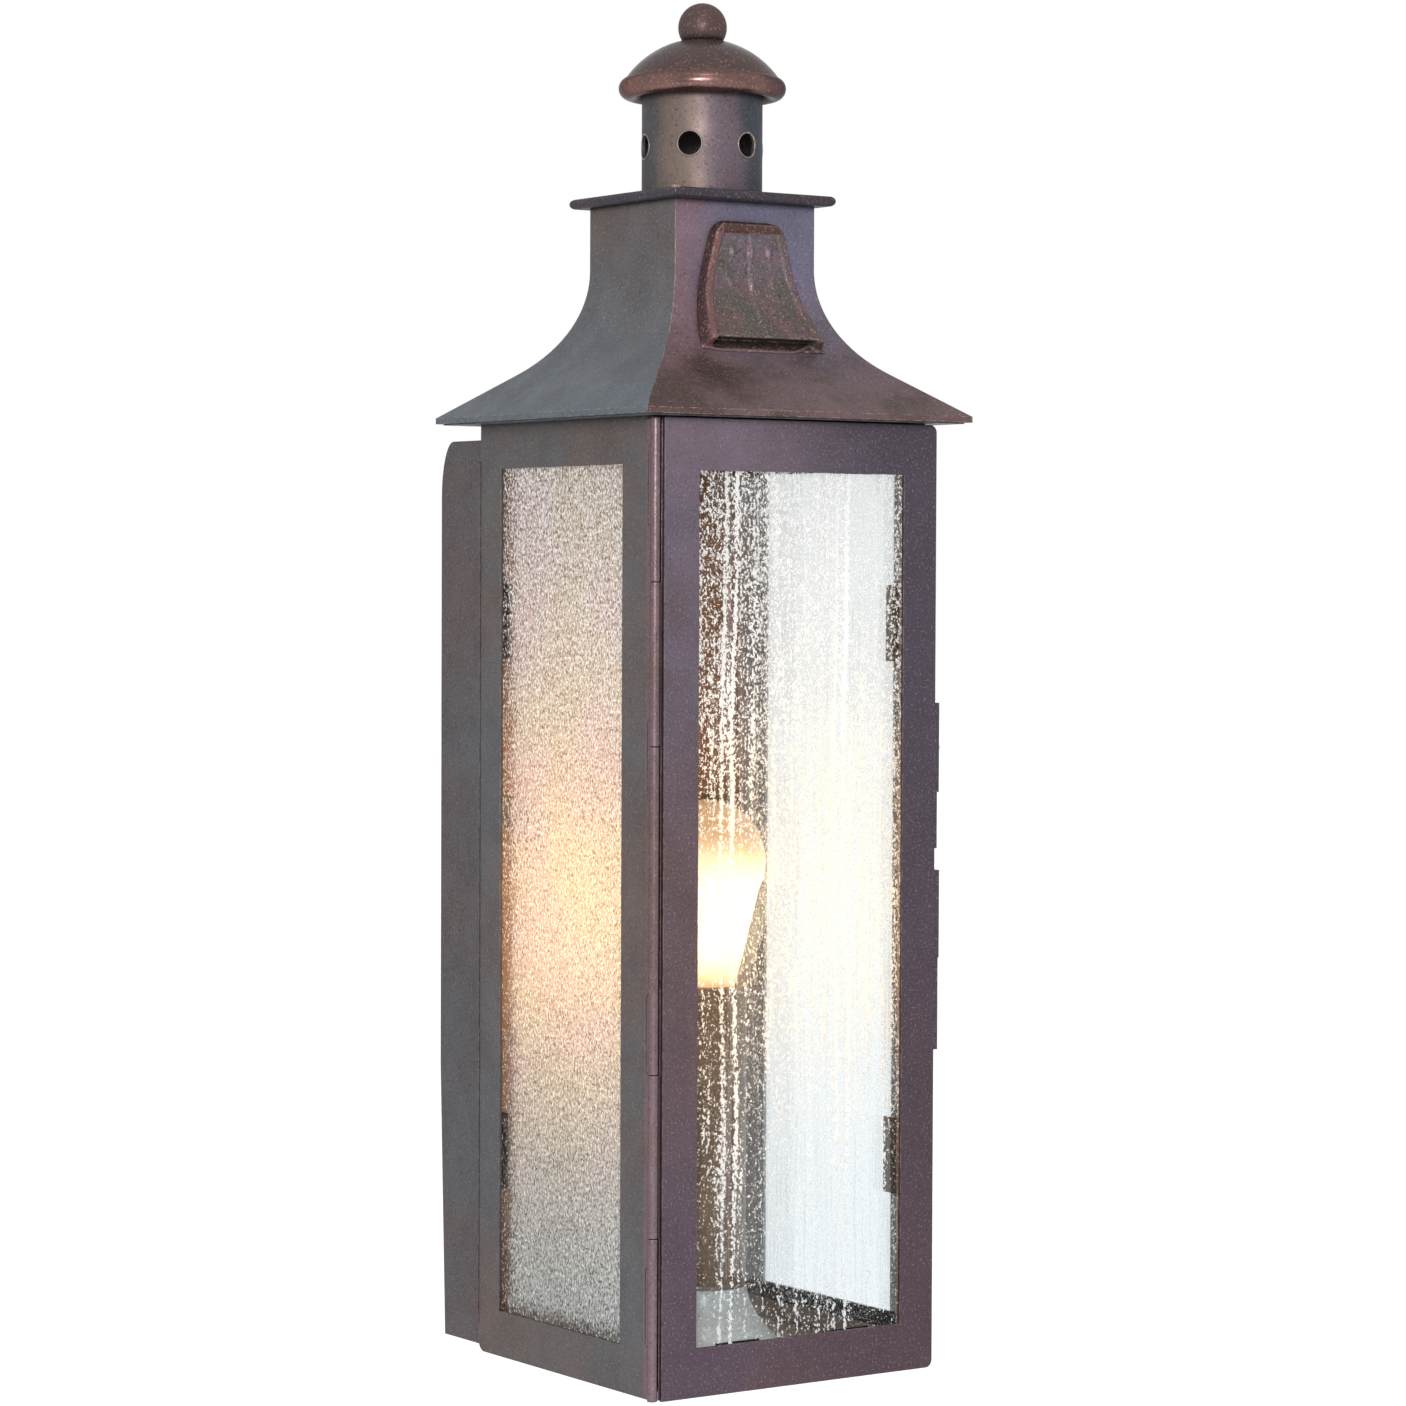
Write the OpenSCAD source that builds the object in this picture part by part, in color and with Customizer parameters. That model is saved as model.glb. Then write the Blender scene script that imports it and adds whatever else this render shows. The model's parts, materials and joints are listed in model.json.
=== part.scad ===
// Outdoor wall lantern: a hinged glass door on a folded sheet-metal body with a vented roof,
// standing off the wall on a shallow pan. One candle-style lamp inside.
// The origin is on the wall, midway between the two box screws. +Z is up, -Y points into the room.

/* [Body] */
// Width of the body across the door
body_w = 130; // [120:1:160]
// Depth of the body from the door's face to the back panel
body_d = 128; // [122:1:160]
// Height of the body from its bottom edge to the roof seat
body_h = 370; // [330:1:420]
// Height of the mounting screws above the bottom edge
mount_up = 212; // [150:1:240]
// Thickness of the sheet metal
sheet_t = 1.2; // [0.8:0.1:1.6]
// Height of the floor plate's underside above the bottom edge
floor_up = 2.4; // [2.2:0.1:4]
// Height of the floor plate's turned-up edges
floor_lip = 8; // [5:0.5:12]
// Width of the turned-in flanges at the top and the front of the side panels
panel_flange = 10; // [8:0.5:12]
// Radius of the side panels' lower rear corners
panel_corner_r = 4; // [2:0.5:6]

/* [Side windows] */
// Stile in front of each side window
side_front_margin = 25.6; // [22:0.2:30]
// Stile behind each side window
side_rear_margin = 15.2; // [14:0.2:20]
// Rail under each side window
side_bottom_margin = 18.1; // [14:0.1:30]
// Rail above each side window
side_top_margin = 17.7; // [14:0.1:30]

/* [Door] */
// Thickness of the door's folded edge, front to back
door_edge_d = 7; // [6:0.2:9]
// Gap between the hinge knuckle's corner plane and the door's edge
door_hinge_gap = 2; // [1.8:0.1:3]
// Gap around the door to the body and the roof
door_gap = 0.6; // [0.4:0.1:1]
// Left stile, measured from the body's corner
door_left_margin = 17.8; // [16:0.1:24]
// Right stile
door_right_margin = 15.9; // [14:0.1:24]
// Bottom rail
door_bottom_margin = 18.6; // [14:0.1:30]
// Top rail
door_top_margin = 20.2; // [14:0.1:30]
// Radius of the door's outer corners at the latch side
door_corner_r = 3; // [1:0.5:5]

/* [Glass] */
// Thickness of the seeded panes
glass_t = 3; // [2:0.2:3.6]
// How far a pane reaches behind its frame on each side
glass_overlap = 5; // [3:0.5:6]
// Length of a side pane's clip
clip_l = 30; // [15:1:40]
// Length of a door pane's clip
door_clip_l = 20; // [10:1:30]
// Thickness of the clips
clip_t = 0.8; // [0.6:0.1:1]
// How far a clip's tip lies over the glass
clip_tip = 5; // [3:0.5:6]
// Gap between a clip and the edge of its pane
clip_gap = 0.2; // [0.1:0.1:0.5]
// Length of a clip's foot
clip_foot = 6; // [4:0.5:7]
// Height of the lower clips' middle above the bottom edge
clip_low = 81.5; // [60:0.5:120]
// Height of the upper clips' middle above the bottom edge
clip_high = 292; // [240:1:320]
// Distance between the door's two clips on one rail
door_clip_pitch = 52; // [40:1:64]

/* [Hinge] */
// Outer radius of the hinge knuckle
knuckle_r = 1.9; // [1.7:0.1:2.3]
// Radius of the hinge pin
pin_r = 0.95; // [0.8:0.05:1.1]
// Radial clearance of the pin in the door's knuckles
pin_clear = 0.06; // [0.03:0.01:0.1]
// Thickness of the hinge leaves
leaf_t = 0.9; // [0.7:0.1:1.1]
// How far the body's leaf reaches back from the corner
body_leaf_w = 8.5; // [7:0.5:12]
// How far the door's leaf reaches in from the corner
door_leaf_w = 11; // [8:0.5:12]
// Gap between neighbouring knuckles
knuckle_gap = 0.4; // [0.3:0.1:1]

/* [Latch] */
// Height of the latch pivot above the bottom edge
latch_up = 243.5; // [200:0.5:280]
// Distance of the latch pivot behind the door's face
latch_in = 4; // [3.6:0.2:5]
// Height of the latch hook's head plate
latch_head_h = 35; // [24:1:40]
// Width of the latch hook's head plate
latch_head_w = 7; // [6:0.2:8]
// Thickness of the head plate
latch_head_t = 2.1; // [1.6:0.1:3]
// Thickness of the hook's arm
latch_arm_t = 1.2; // [1:0.1:1.6]
// Width of the hook's tip
latch_tip_w = 5.4; // [4.6:0.2:7]
// Distance from the latch pivot to the hook's tip
latch_reach = 39.5; // [34:0.5:44]
// Radius of the latch pivot rivet's shank
latch_pin_r = 1.6; // [1.2:0.1:2]
// Radial clearance of the hook on its rivet
latch_pin_clear = 0.08; // [0.04:0.01:0.1]
// Gap between the hook and the door's edge
latch_side_gap = 0.3; // [0.3:0.1:0.6]
// Distance from the latch pivot to the keeper stud
keeper_reach = 34; // [30:0.5:38]
// How far the hook swings back to reach the keeper
latch_swing = 22; // [20:1:23]
// Radius of the keeper stud
keeper_r = 1.7; // [1.4:0.1:1.9]
// Clearance of the hook's notch around the keeper stud
keeper_clear = 0.5; // [0.4:0.1:0.6]
// Height of the finger plate on the door's edge
pull_h = 70.5; // [50:0.5:80]
// Height of the finger plate's lower end above the bottom edge
pull_up = 125; // [100:1:140]
// Height of the finger plate's thick upper part
pull_grip_h = 34.5; // [20:0.5:40]
// Thickness of the finger plate's thick upper part
pull_grip_t = 2.7; // [2.4:0.1:4]
// Thickness of the rest of the finger plate
pull_t = 2.2; // [1.6:0.1:2.3]

/* [Wall pan] */
// Depth of the pan between the wall and the back panel
pan_depth = 31; // [26:1:40]
// Gap between the pan's side and the body's side plane
pan_inset = 0.5; // [0.2:0.1:2]
// Height of the pan's lower edge above the bottom edge
pan_up = 2.5; // [1:0.5:10]
// Gap between the pan's upper edge and the roof seat
pan_down = 6; // [4:0.5:20]
// Height of the pan's rounded upper rear corner
pan_top_round = 22; // [10:1:30]
// Depth of the pan's rounded upper rear corner
pan_top_set = 9; // [4:1:14]
// How far the pan's rim leans off the wall at its foot
pan_foot_set = 4; // [0:0.5:6]
// Height over which the rim leans off the wall
pan_foot_h = 110; // [60:5:140]
// Width of the bead along the pan's front edge
bead_w = 2.8; // [2:0.1:4]
// How far the bead stands out from the pan's side
bead_out = 0.8; // [0.4:0.1:1.2]
// Height that the bead stops short of each end of the pan
bead_short = 9; // [4:1:20]

/* [Mounting] */
// Distance between the two mounting studs
stud_pitch = 88.9; // [84:0.1:94]
// Distance between the two box screw holes
box_pitch = 69.85; // [66:0.05:72]
// Radius of the box screw holes
box_hole_r = 2.3; // [2:0.1:2.5]
// Radius of the mounting studs
stud_r = 2.05; // [1.8:0.05:2.3]
// Radial clearance of the studs in the bar, the pan and the back panel
stud_clear = 0.08; // [0.04:0.01:0.1]
// Length of the mounting bar
bar_l = 104; // [100:1:112]
// Width of the mounting bar
bar_w = 20; // [16:1:24]
// Thickness of the mounting bar
bar_t = 2.4; // [2:0.1:3]
// Radius of the cap nuts
cap_nut_r = 7; // [6:0.5:8]
// Height of the cap nuts' straight part
cap_nut_h = 6; // [4:0.5:8]
// Width across the corners of the lock nuts
lock_nut_d = 8; // [7.5:0.1:9]
// Thickness of the lock nuts
lock_nut_h = 3; // [2:0.2:4]
// Radius of the mounting bar's middle hole
bar_hole_r = 5; // [4:0.5:6]
// Radius of the ground screw
ground_screw_r = 1.9; // [1.6:0.1:2.2]
// Distance of the ground screw from the mounting bar's middle
ground_screw_x = 17; // [14:0.5:20]
// Radius of the ground wire
ground_wire_r = 0.8; // [0.6:0.1:1]
// Length of the ground wire below its screw
ground_drop = 52; // [40:1:70]

/* [Roof] */
// Width of the roof at its eave
eave_w = 152.8; // [140:0.2:180]
// Depth of the roof at its eave
eave_d = 152; // [140:0.2:180]
// How far the eave stands out in front of the door
eave_front = 8; // [4:0.5:14]
// Height of the folded rim under the eave
hem_h = 2.3; // [1.6:0.1:4]
// Width of the folded rim under the eave
hem_w = 2.3; // [2:0.1:4]
// How far the rim's lower edge lies above the roof seat's underside
hem_up = 0.5; // [0:0.1:1]
// Width of the roof's neck
neck_w = 66; // [58:1:76]
// Depth of the roof's neck
neck_d = 60; // [56:1:70]
// Radius of the roof's concave sweep
sweep_r = 50.5; // [35:0.5:52]
// Height of the straight neck
neck_h = 24.5; // [16:0.5:40]
// Height of the roof from the eave to the neck's top
roof_h = 82.5; // [76:0.5:100]
// Width of the top plate
tray_w = 76; // [70:1:90]
// Depth of the top plate
tray_d = 75; // [66:1:90]
// Thickness of the top plate
tray_t = 4; // [3:0.2:6]
// Radius of the vent hole in the roof seat
seat_hole_r = 26; // [20:1:27]

/* [Dormer] */
// Height of the dormer plate
dormer_h = 46; // [30:1:50]
// Gap between the dormer's top and the neck's top
dormer_down = 10; // [6:1:16]
// Half width of the dormer at its top
dormer_top = 16; // [12:0.5:20]
// Half width of the dormer at its foot
dormer_foot = 28; // [20:0.5:30]
// How far the dormer stands out from the roof
dormer_out = 3.5; // [2:0.1:4]
// Radius of the dormer's corners
dormer_r = 4; // [2:0.5:5]

/* [Vent stack] */
// Outer radius of the vent stack
stack_r = 23.8; // [20:0.1:26]
// Height of the vent stack above the top plate
stack_h = 44; // [36:0.5:52]
// Radius of the stack's spigot in the top plate
spigot_r = 20.8; // [17:0.1:22]
// Depth of the spigot below the top plate's upper face
spigot_h = 7; // [6:0.5:12]
// Number of vent holes
vent_n = 6; // [4:1:8]
// Radius of a vent hole
vent_r = 4.9; // [3:0.1:6]
// Height of the vent holes above the top plate
vent_up = 19.2; // [12:0.2:24]
// Turn of the first vent hole from straight ahead
vent_turn = 13.6; // [0:0.2:30]
// Radius of the cap's rolled bead
cap_bead_r = 4.3; // [3.6:0.1:5]
// Outer radius of the cap
cap_r = 33; // [32:0.2:38]
// Height of the bead's middle above the top plate
cap_bead_up = 42.8; // [36:0.2:50]
// Radius of the cap's domed crown
crown_r = 37; // [35:0.5:42]
// Radius of the crown where it meets the bead
crown_foot_r = 30; // [28:0.5:32]
// Gap between the cap's inner ring and the stack
cap_fit = 0.05; // [0.03:0.01:0.1]
// Radius of the finial ball
ball_r = 9.6; // [7:0.1:12]
// Height of the ball's middle above the crown's top
ball_up = 4.4; // [3:0.1:8]
// Radius of the finial's stud
finial_stud_r = 2; // [1.5:0.1:2.5]
// Width across the corners of the nut under the cap
finial_nut_d = 8; // [7:0.5:10]
// Height of the nut under the cap
finial_nut_h = 3; // [2:0.5:4]

/* [Lamp] */
// Distance of the lamp's axis behind the door's face
lamp_in = 64; // [60:1:70]
// Outer radius of the candle sleeve
sleeve_r = 16.7; // [16:0.1:18]
// Wall of the candle sleeve
sleeve_t = 0.8; // [0.6:0.1:1]
// Height of the sleeve's top above the bottom edge
sleeve_top = 149; // [130:1:170]
// Radius of the cup under the sleeve
cup_r = 21; // [19:0.5:26]
// Height of the cup
cup_h = 5; // [4:0.5:8]
// Outer radius of the threaded tube that carries the socket
tube_r = 4.8; // [4:0.1:5.4]
// Bore radius of the threaded tube
tube_bore_r = 3.3; // [2.5:0.1:3.6]
// Width across the corners of the tube's nuts
tube_nut_d = 16; // [14:0.5:18]
// Thickness of the tube's nuts
tube_nut_h = 2; // [1.6:0.1:2.1]
// Outer radius of the socket
socket_r = 15.4; // [15.2:0.1:15.6]
// Height of the socket
socket_h = 44; // [40:1:50]
// Inner radius of the socket's screw shell
shell_r = 13.4; // [13.3:0.1:13.6]
// Wall of the screw shell
shell_t = 0.5; // [0.4:0.1:0.6]
// How far the socket takes in its threaded tube
socket_neck = 4; // [3:0.5:6]
// Radius of the socket's contact
contact_r = 3.2; // [2.6:0.1:4]
// Thickness of the socket's floor
socket_floor = 12; // [9:0.5:14]
// Radius of the bulb's screw base
bulb_base_r = 12.9; // [12.5:0.1:13]
// Height of the bulb's screw base
bulb_base_h = 24; // [20:0.5:26]
// Wall of the bulb's base
bulb_base_t = 0.8; // [0.6:0.1:1]
// Radius of the insulator at the bottom of the bulb's base
bulb_insulator_r = 5; // [4:0.5:7]
// Radius of the bulb's glass stem
stem_r = 3.2; // [2.6:0.1:4]
// Radius of the wires on the stem
stem_wire_r = 0.5; // [0.4:0.1:0.7]
// Largest radius of the bulb
bulb_r = 24; // [20:0.5:28]
// Height from the bottom edge to the bulb's top
bulb_top = 222; // [200:1:240]
// Wall of the bulb's glass
bulb_t = 0.8; // [0.6:0.1:1.2]

/* [Wiring] */
// Radius of an insulated wire
wire_r = 1.2; // [1:0.1:1.4]
// Sideways distance of each lead from the middle
lead_x = 1.8; // [1.6:0.1:2.2]
// Bend radius of the leads
bend_r = 5; // [4:0.5:6]
// Distance of the leads behind the lamp's axis
lead_back = 10.5; // [9.5:0.1:11.5]
// Height of the leads above the floor plate
lead_up = 7.2; // [6.4:0.1:8]
// Distance of the leads behind the back panel
lead_drop = 12; // [10:0.5:15]
// Bore radius of the grommet
grommet_bore_r = 3.6; // [3.4:0.1:4.4]
// Radius of the hole that the grommet sits in
grommet_hole_r = 5; // [4.8:0.1:6]
// Width of the wire cover on the floor
cover_w = 14; // [12:0.5:18]
// Thickness of the wire cover
cover_t = 0.8; // [0.6:0.1:1]
// Radius of a wire connector at its mouth
connector_r = 5.5; // [5.5:0.5:7]
// Length of a wire connector
connector_l = 18; // [14:1:24]

/* [Hidden] */

// Main planes
front_y = -(pan_depth + body_d);
back_y = -pan_depth;
left_x = -body_w / 2;
right_x = body_w / 2;
bottom_z = -mount_up;
top_z = bottom_z + body_h;
jamb_y = front_y + door_edge_d + door_gap;
floor_z = bottom_z + floor_up + sheet_t;
inner_x = right_x - sheet_t;
inner_back_y = back_y - sheet_t;
cut = 1;             // how far a cutting shape passes the face that it opens
close_fit = 0.02;    // gap between a thread and its nut
easy_fit = 0.05;     // gap between parts that are pushed together
hole_fn = 48;
shell_fn = 96;

// Side windows and their panes, in Y and Z
side_win_y0 = front_y + side_front_margin;
side_win_y1 = back_y - side_rear_margin;
side_win_z0 = bottom_z + side_bottom_margin;
side_win_z1 = top_z - side_top_margin;

// Door, its window and its pane, in X and Z
door_x0 = left_x + door_hinge_gap;
door_z1 = top_z - door_gap;
door_win_x0 = left_x + door_left_margin;
door_win_x1 = right_x - door_right_margin;
door_win_z0 = bottom_z + door_bottom_margin;
door_win_z1 = top_z - door_top_margin;
door_back_y = front_y + sheet_t;

// Hinge
knuckle_back = 0.3;   // how far the knuckles stand in from the leaf's and the door's faces
knuckle_clear = 0.4;  // gap between a knuckle and the other leaf
hinge_x = left_x - (knuckle_r - leaf_t) + knuckle_back;
hinge_y = front_y + knuckle_r + knuckle_back;
hinge_z0 = bottom_z;
hinge_h = body_h - door_gap;
knuckle_stops = [0, 1 / 6, 2 / 6, 4 / 6, 5 / 6, 1];
panel_front_y = hinge_y + knuckle_r + knuckle_clear + 0.1;

// Latch and its plate
rivet_head = 1.7;     // a rivet head's radius as a share of its shank's
rivet_head_h = 0.5;
stud_head_h = 0.8;
stud_foot_h = 0.6;
pull_rivet_r = 1.4;
pull_rivet_in = 10;   // distance of the plate's rivets from its ends
pull_rivet_z = [bottom_z + pull_up + pull_rivet_in, bottom_z + pull_up + pull_h - pull_rivet_in];
pull_back = 0.4;      // how far the plate stands behind the door's face
latch_x = right_x + latch_side_gap;
latch_y = front_y + latch_in;
latch_z = bottom_z + latch_up;
keeper_y = latch_y + keeper_reach * sin(latch_swing);
keeper_z = latch_z - keeper_reach * cos(latch_swing);
keeper_l = latch_side_gap + latch_arm_t + 1.5;

// Roof
roof_screw_r = 1.6;
roof_screw_head_h = 2;
roof_screw_x = inner_x - panel_flange / 2;
roof_screw_y = [jamb_y + 22, inner_back_y - 16];
roof_y = front_y - eave_front + eave_d / 2;
seat_z = top_z;
hem_z = seat_z + hem_up;
eave_z = hem_z + hem_h;
neck_z = eave_z + roof_h;
sweep_z = neck_z - neck_h;
tray_z = neck_z + tray_t;

// Stack cap: the crown is part of a ball whose middle lies on the stack's axis
bead_x = cap_r - cap_bead_r;
bead_z = tray_z + cap_bead_up;
crown_z = bead_z + cap_bead_r - sqrt(crown_r * crown_r - crown_foot_r * crown_foot_r);
crown_top = crown_z + crown_r;
ball_z = crown_top + ball_up;
stud_hole_r = finial_stud_r + 0.1;

// Wall pan
pan_x = right_x - pan_inset;
pan_z0 = bottom_z + pan_up;
pan_z1 = top_z - pan_down;

// Lamp
lamp_y = front_y + lamp_in;
sleeve_z1 = bottom_z + sleeve_top;
sleeve_in = sleeve_r - sleeve_t;
socket_z1 = sleeve_z1 - 2;
socket_z0 = socket_z1 - socket_h;
contact_z = socket_z0 + socket_floor;
contact_h = 2;
bulb_rest = 0.3;
tip_h = 2.5;
insulator_h = 1.5;
neck_gap = 0.4;       // gap between the glass neck and the wall of the base
filament_l = 0.75 * bulb_r;
neck_in = 4;          // how far the glass neck reaches into the bulb's base
shoulder_drop = 0.45 * bulb_r;
base_z0 = contact_z + contact_h + bulb_rest + tip_h;
base_z1 = base_z0 + bulb_base_h;
bulb_z1 = bottom_z + bulb_top;
bulb_mid = bulb_z1 - bulb_r;

// Wiring
lead_y0 = lamp_y + lead_back;
lead_z = floor_z + lead_up;
lead_y1 = back_y + lead_drop;
lead_top = -bar_w / 2 - 4;
lead_in = 3;         // how far a lead reaches into the socket and into its connector
grommet_lip = 2;
ground_head_h = 1.6;
ground_head_up = 0.6; // how far the ground screw's head stands off the bar
ground_wire_y = -bar_t - ground_head_up - ground_head_h - ground_wire_r;
connector_x = connector_r + 2 * easy_fit;

// A block between two opposite corners
module block(a, b) {
    translate(a) cube(b - a);
}

// An outline drawn in Y and Z, standing along X from x0
module along_x(x0, l) {
    translate([x0, 0, 0]) rotate([90, 0, 90]) linear_extrude(l) children();
}

// An outline drawn in X and Z, standing towards the wall from y0
module along_y(y0, l) {
    translate([0, y0 + l, 0]) rotate([90, 0, 0]) linear_extrude(l) children();
}

// A round rod along X, Y or Z from a point
module rod_x(p, r, l) {
    translate(p) rotate([0, 90, 0]) cylinder(r = r, h = l, $fn = hole_fn);
}
module rod_y(p, r, l) {
    translate(p) rotate([-90, 0, 0]) cylinder(r = r, h = l, $fn = hole_fn);
}
module rod_z(p, r, l) {
    translate(p) cylinder(r = r, h = l, $fn = hole_fn);
}

// ---------------------------------------------------------------- body

// Outline of a side panel in Y and Z, its lower rear corner rounded
module panel_outline(y0) {
    difference() {
        union() {
            translate([y0, bottom_z + panel_corner_r])
                square([back_y - y0, body_h - panel_corner_r]);
            translate([y0, bottom_z]) square([back_y - panel_corner_r - y0, panel_corner_r + cut]);
            translate([back_y - panel_corner_r, bottom_z + panel_corner_r])
                circle(r = panel_corner_r, $fn = hole_fn);
        }
        translate([side_win_y0, side_win_z0])
            square([side_win_y1 - side_win_y0, side_win_z1 - side_win_z0]);
    }
}

// A side panel standing at the right, its front edge at y0
module side_panel(y0) {
    along_x(inner_x, sheet_t) panel_outline(y0);
    // flange that carries the roof seat
    difference() {
        block([inner_x - panel_flange, jamb_y + sheet_t, top_z - sheet_t],
              [inner_x, inner_back_y, top_z]);
        for (y = roof_screw_y) rod_z([roof_screw_x, y, top_z - sheet_t - cut],
                                     roof_screw_r, sheet_t + 2 * cut);
    }
}

module left_side_panel() {
    color([0.40, 0.39, 0.39]) mirror([1, 0, 0]) side_panel(panel_front_y);
}

module right_side_panel() {
    color([0.40, 0.39, 0.39]) difference() {
        side_panel(jamb_y);
        rod_x([inner_x - cut, keeper_y, keeper_z], keeper_r, sheet_t + 2 * cut);
    }
}

// The strip behind the door's edge, at the right
module door_stop() {
    block([inner_x - panel_flange, jamb_y, floor_z], [inner_x, jamb_y + sheet_t, top_z]);
}

module left_door_stop() {
    color([0.40, 0.38, 0.38]) mirror([1, 0, 0]) door_stop();
}

module right_door_stop() {
    color([0.40, 0.38, 0.38]) door_stop();
}

module back_panel() {
    color([0.39, 0.35, 0.35]) difference() {
        block([-inner_x, inner_back_y, floor_z], [inner_x, back_y, top_z]);
        for (s = [-1, 1])
            rod_y([s * stud_pitch / 2, inner_back_y - cut, 0],
                  stud_r + stud_clear, sheet_t + 2 * cut);
        rod_y([0, inner_back_y - cut, lead_z], grommet_hole_r, sheet_t + 2 * cut);
    }
}

module floor_plate() {
    color([0.45, 0.44, 0.44]) difference() {
        union() {
            block([-inner_x, jamb_y, floor_z - sheet_t], [inner_x, back_y, floor_z]);
            block([-inner_x + panel_flange, jamb_y, floor_z],
                  [inner_x - panel_flange, jamb_y + sheet_t, floor_z + floor_lip]);
            for (s = [0, 1]) mirror([s, 0, 0])
                block([inner_x - sheet_t, jamb_y + sheet_t, floor_z],
                      [inner_x, inner_back_y, floor_z + floor_lip]);
        }
        rod_z([0, lamp_y, floor_z - sheet_t - cut], tube_r + easy_fit, sheet_t + 2 * cut);
    }
}

module top_header() {
    color([0.42, 0.38, 0.39]) {
        block([-inner_x + panel_flange, jamb_y, top_z - panel_flange],
              [inner_x - panel_flange, jamb_y + sheet_t, top_z]);
        block([-inner_x + panel_flange, jamb_y + sheet_t, top_z - sheet_t],
              [inner_x - panel_flange, jamb_y + panel_flange, top_z]);
    }
}

// ---------------------------------------------------------------- roof

// Middle of the concave sweep beside a neck of half width n
function sweep_c(n) = [n + sweep_r, sweep_z];

// Direction from that middle to where the straight skirt leaves the sweep, for an eave of half width e
function skirt_angle(n, e) =
    let (v = [e, eave_z] - sweep_c(n))
    atan2(v[1], v[0]) + 360 - acos(sweep_r / norm(v));

// Half of the roof's outline moved inwards by inset, with rise added at the top and drop at the foot
module roof_half(n, e, inset, rise, drop) {
    a = skirt_angle(n, e);
    c = sweep_c(n);
    leave = c + (sweep_r + inset) * [cos(a), sin(a)];
    foot = [e, eave_z] + inset * [cos(a), sin(a)];
    difference() {
        polygon([[0, foot[1] - drop], [foot[0], foot[1] - drop], foot, leave, c,
                 [n - inset, c[1]], [n - inset, neck_z + rise], [0, neck_z + rise]]);
        translate(c) circle(r = sweep_r + inset, $fn = 4 * shell_fn);
    }
}
module roof_outline(n, e, inset, rise, drop) {
    for (s = [0, 1]) mirror([s, 0]) roof_half(n, e, inset, rise, drop);
}

// The roof's solid form
module roof_form(inset, rise, drop) {
    intersection() {
        along_y(roof_y - eave_d, 2 * eave_d)
            roof_outline(neck_w / 2, eave_w / 2, inset, rise, drop);
        along_x(-eave_w, 2 * eave_w)
            translate([roof_y, 0]) roof_outline(neck_d / 2, eave_d / 2, inset, rise, drop);
    }
}

module roof_shell() {
    color([0.42, 0.41, 0.43]) difference() {
        roof_form(0, 0, hem_h);
        roof_form(sheet_t, cut, 0);
        block([-eave_w / 2 + hem_w, roof_y - eave_d / 2 + hem_w, hem_z - cut],
              [eave_w / 2 - hem_w, roof_y + eave_d / 2 - hem_w, eave_z]);
    }
}

module roof_seat() {
    color([0.36, 0.34, 0.34]) difference() {
        block([-eave_w / 2 + hem_w, roof_y - eave_d / 2 + hem_w, seat_z],
              [eave_w / 2 - hem_w, roof_y + eave_d / 2 - hem_w, seat_z + sheet_t]);
        rod_z([0, roof_y, seat_z - cut], seat_hole_r, sheet_t + 2 * cut);
        for (s = [-1, 1], y = roof_screw_y)
            rod_z([s * roof_screw_x, y, seat_z - cut], roof_screw_r, sheet_t + 2 * cut);
    }
}

module roof_screws() {
    color([0.55, 0.53, 0.50])
        for (s = [-1, 1], y = roof_screw_y) {
            rod_z([s * roof_screw_x, y, top_z - sheet_t - roof_screw_head_h], 2 * roof_screw_r,
                  roof_screw_head_h);
            rod_z([s * roof_screw_x, y, top_z - sheet_t - cut], roof_screw_r - close_fit,
                  2 * sheet_t + 4 * cut);
        }
}

module dormer_outline() {
    z1 = neck_z - dormer_down - dormer_r;
    z0 = neck_z - dormer_down - dormer_h + dormer_r / 2;
    hull() {
        for (s = [-1, 1]) {
            translate([s * (dormer_top - dormer_r), z1]) circle(r = dormer_r, $fn = 32);
            translate([s * (dormer_foot - dormer_r / 2), z0]) circle(r = dormer_r / 2, $fn = 32);
        }
    }
}

module dormer_plate() {
    color([0.41, 0.34, 0.34]) difference() {
        intersection() {
            along_y(roof_y - eave_d, eave_d) dormer_outline();
            along_x(-eave_w, 2 * eave_w)
                translate([roof_y, 0]) roof_outline(neck_d / 2, eave_d / 2, -dormer_out, 0, 0);
        }
        along_x(-eave_w, 2 * eave_w)
            translate([roof_y, 0]) roof_outline(neck_d / 2, eave_d / 2, 0, cut, 0);
    }
}

// Cross-section of the top plate: a bar with round edges
module tray_outline(l) {
    r = tray_t / 2;
    translate([r - l / 2, 0]) square([l - 2 * r, tray_t]);
    for (s = [-1, 1]) translate([s * (l / 2 - r), r]) circle(r = r, $fn = hole_fn);
}

module roof_top_plate() {
    color([0.40, 0.38, 0.39]) difference() {
        intersection() {
            along_x(-tray_w, 2 * tray_w) translate([roof_y, neck_z]) tray_outline(tray_d);
            along_y(roof_y - tray_d, 2 * tray_d) translate([0, neck_z]) tray_outline(tray_w);
        }
        rod_z([0, roof_y, neck_z - cut], spigot_r + easy_fit, tray_t + 2 * cut);
    }
}

module vent_stack() {
    color([0.42, 0.38, 0.38]) translate([0, roof_y, tray_z]) difference() {
        rotate_extrude($fn = shell_fn) polygon([
            [spigot_r - sheet_t, -spigot_h], [spigot_r, -spigot_h], [spigot_r, 0],
            [stack_r, 0], [stack_r, stack_h], [stack_r - sheet_t, stack_h],
            [stack_r - sheet_t, sheet_t], [spigot_r - sheet_t, sheet_t]]);
        for (i = [0:vent_n - 1])
            rotate([0, 0, 270 + vent_turn + i * 360 / vent_n])
                rod_x([stack_r / 2, 0, vent_up], vent_r, stack_r);
    }
}

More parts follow.
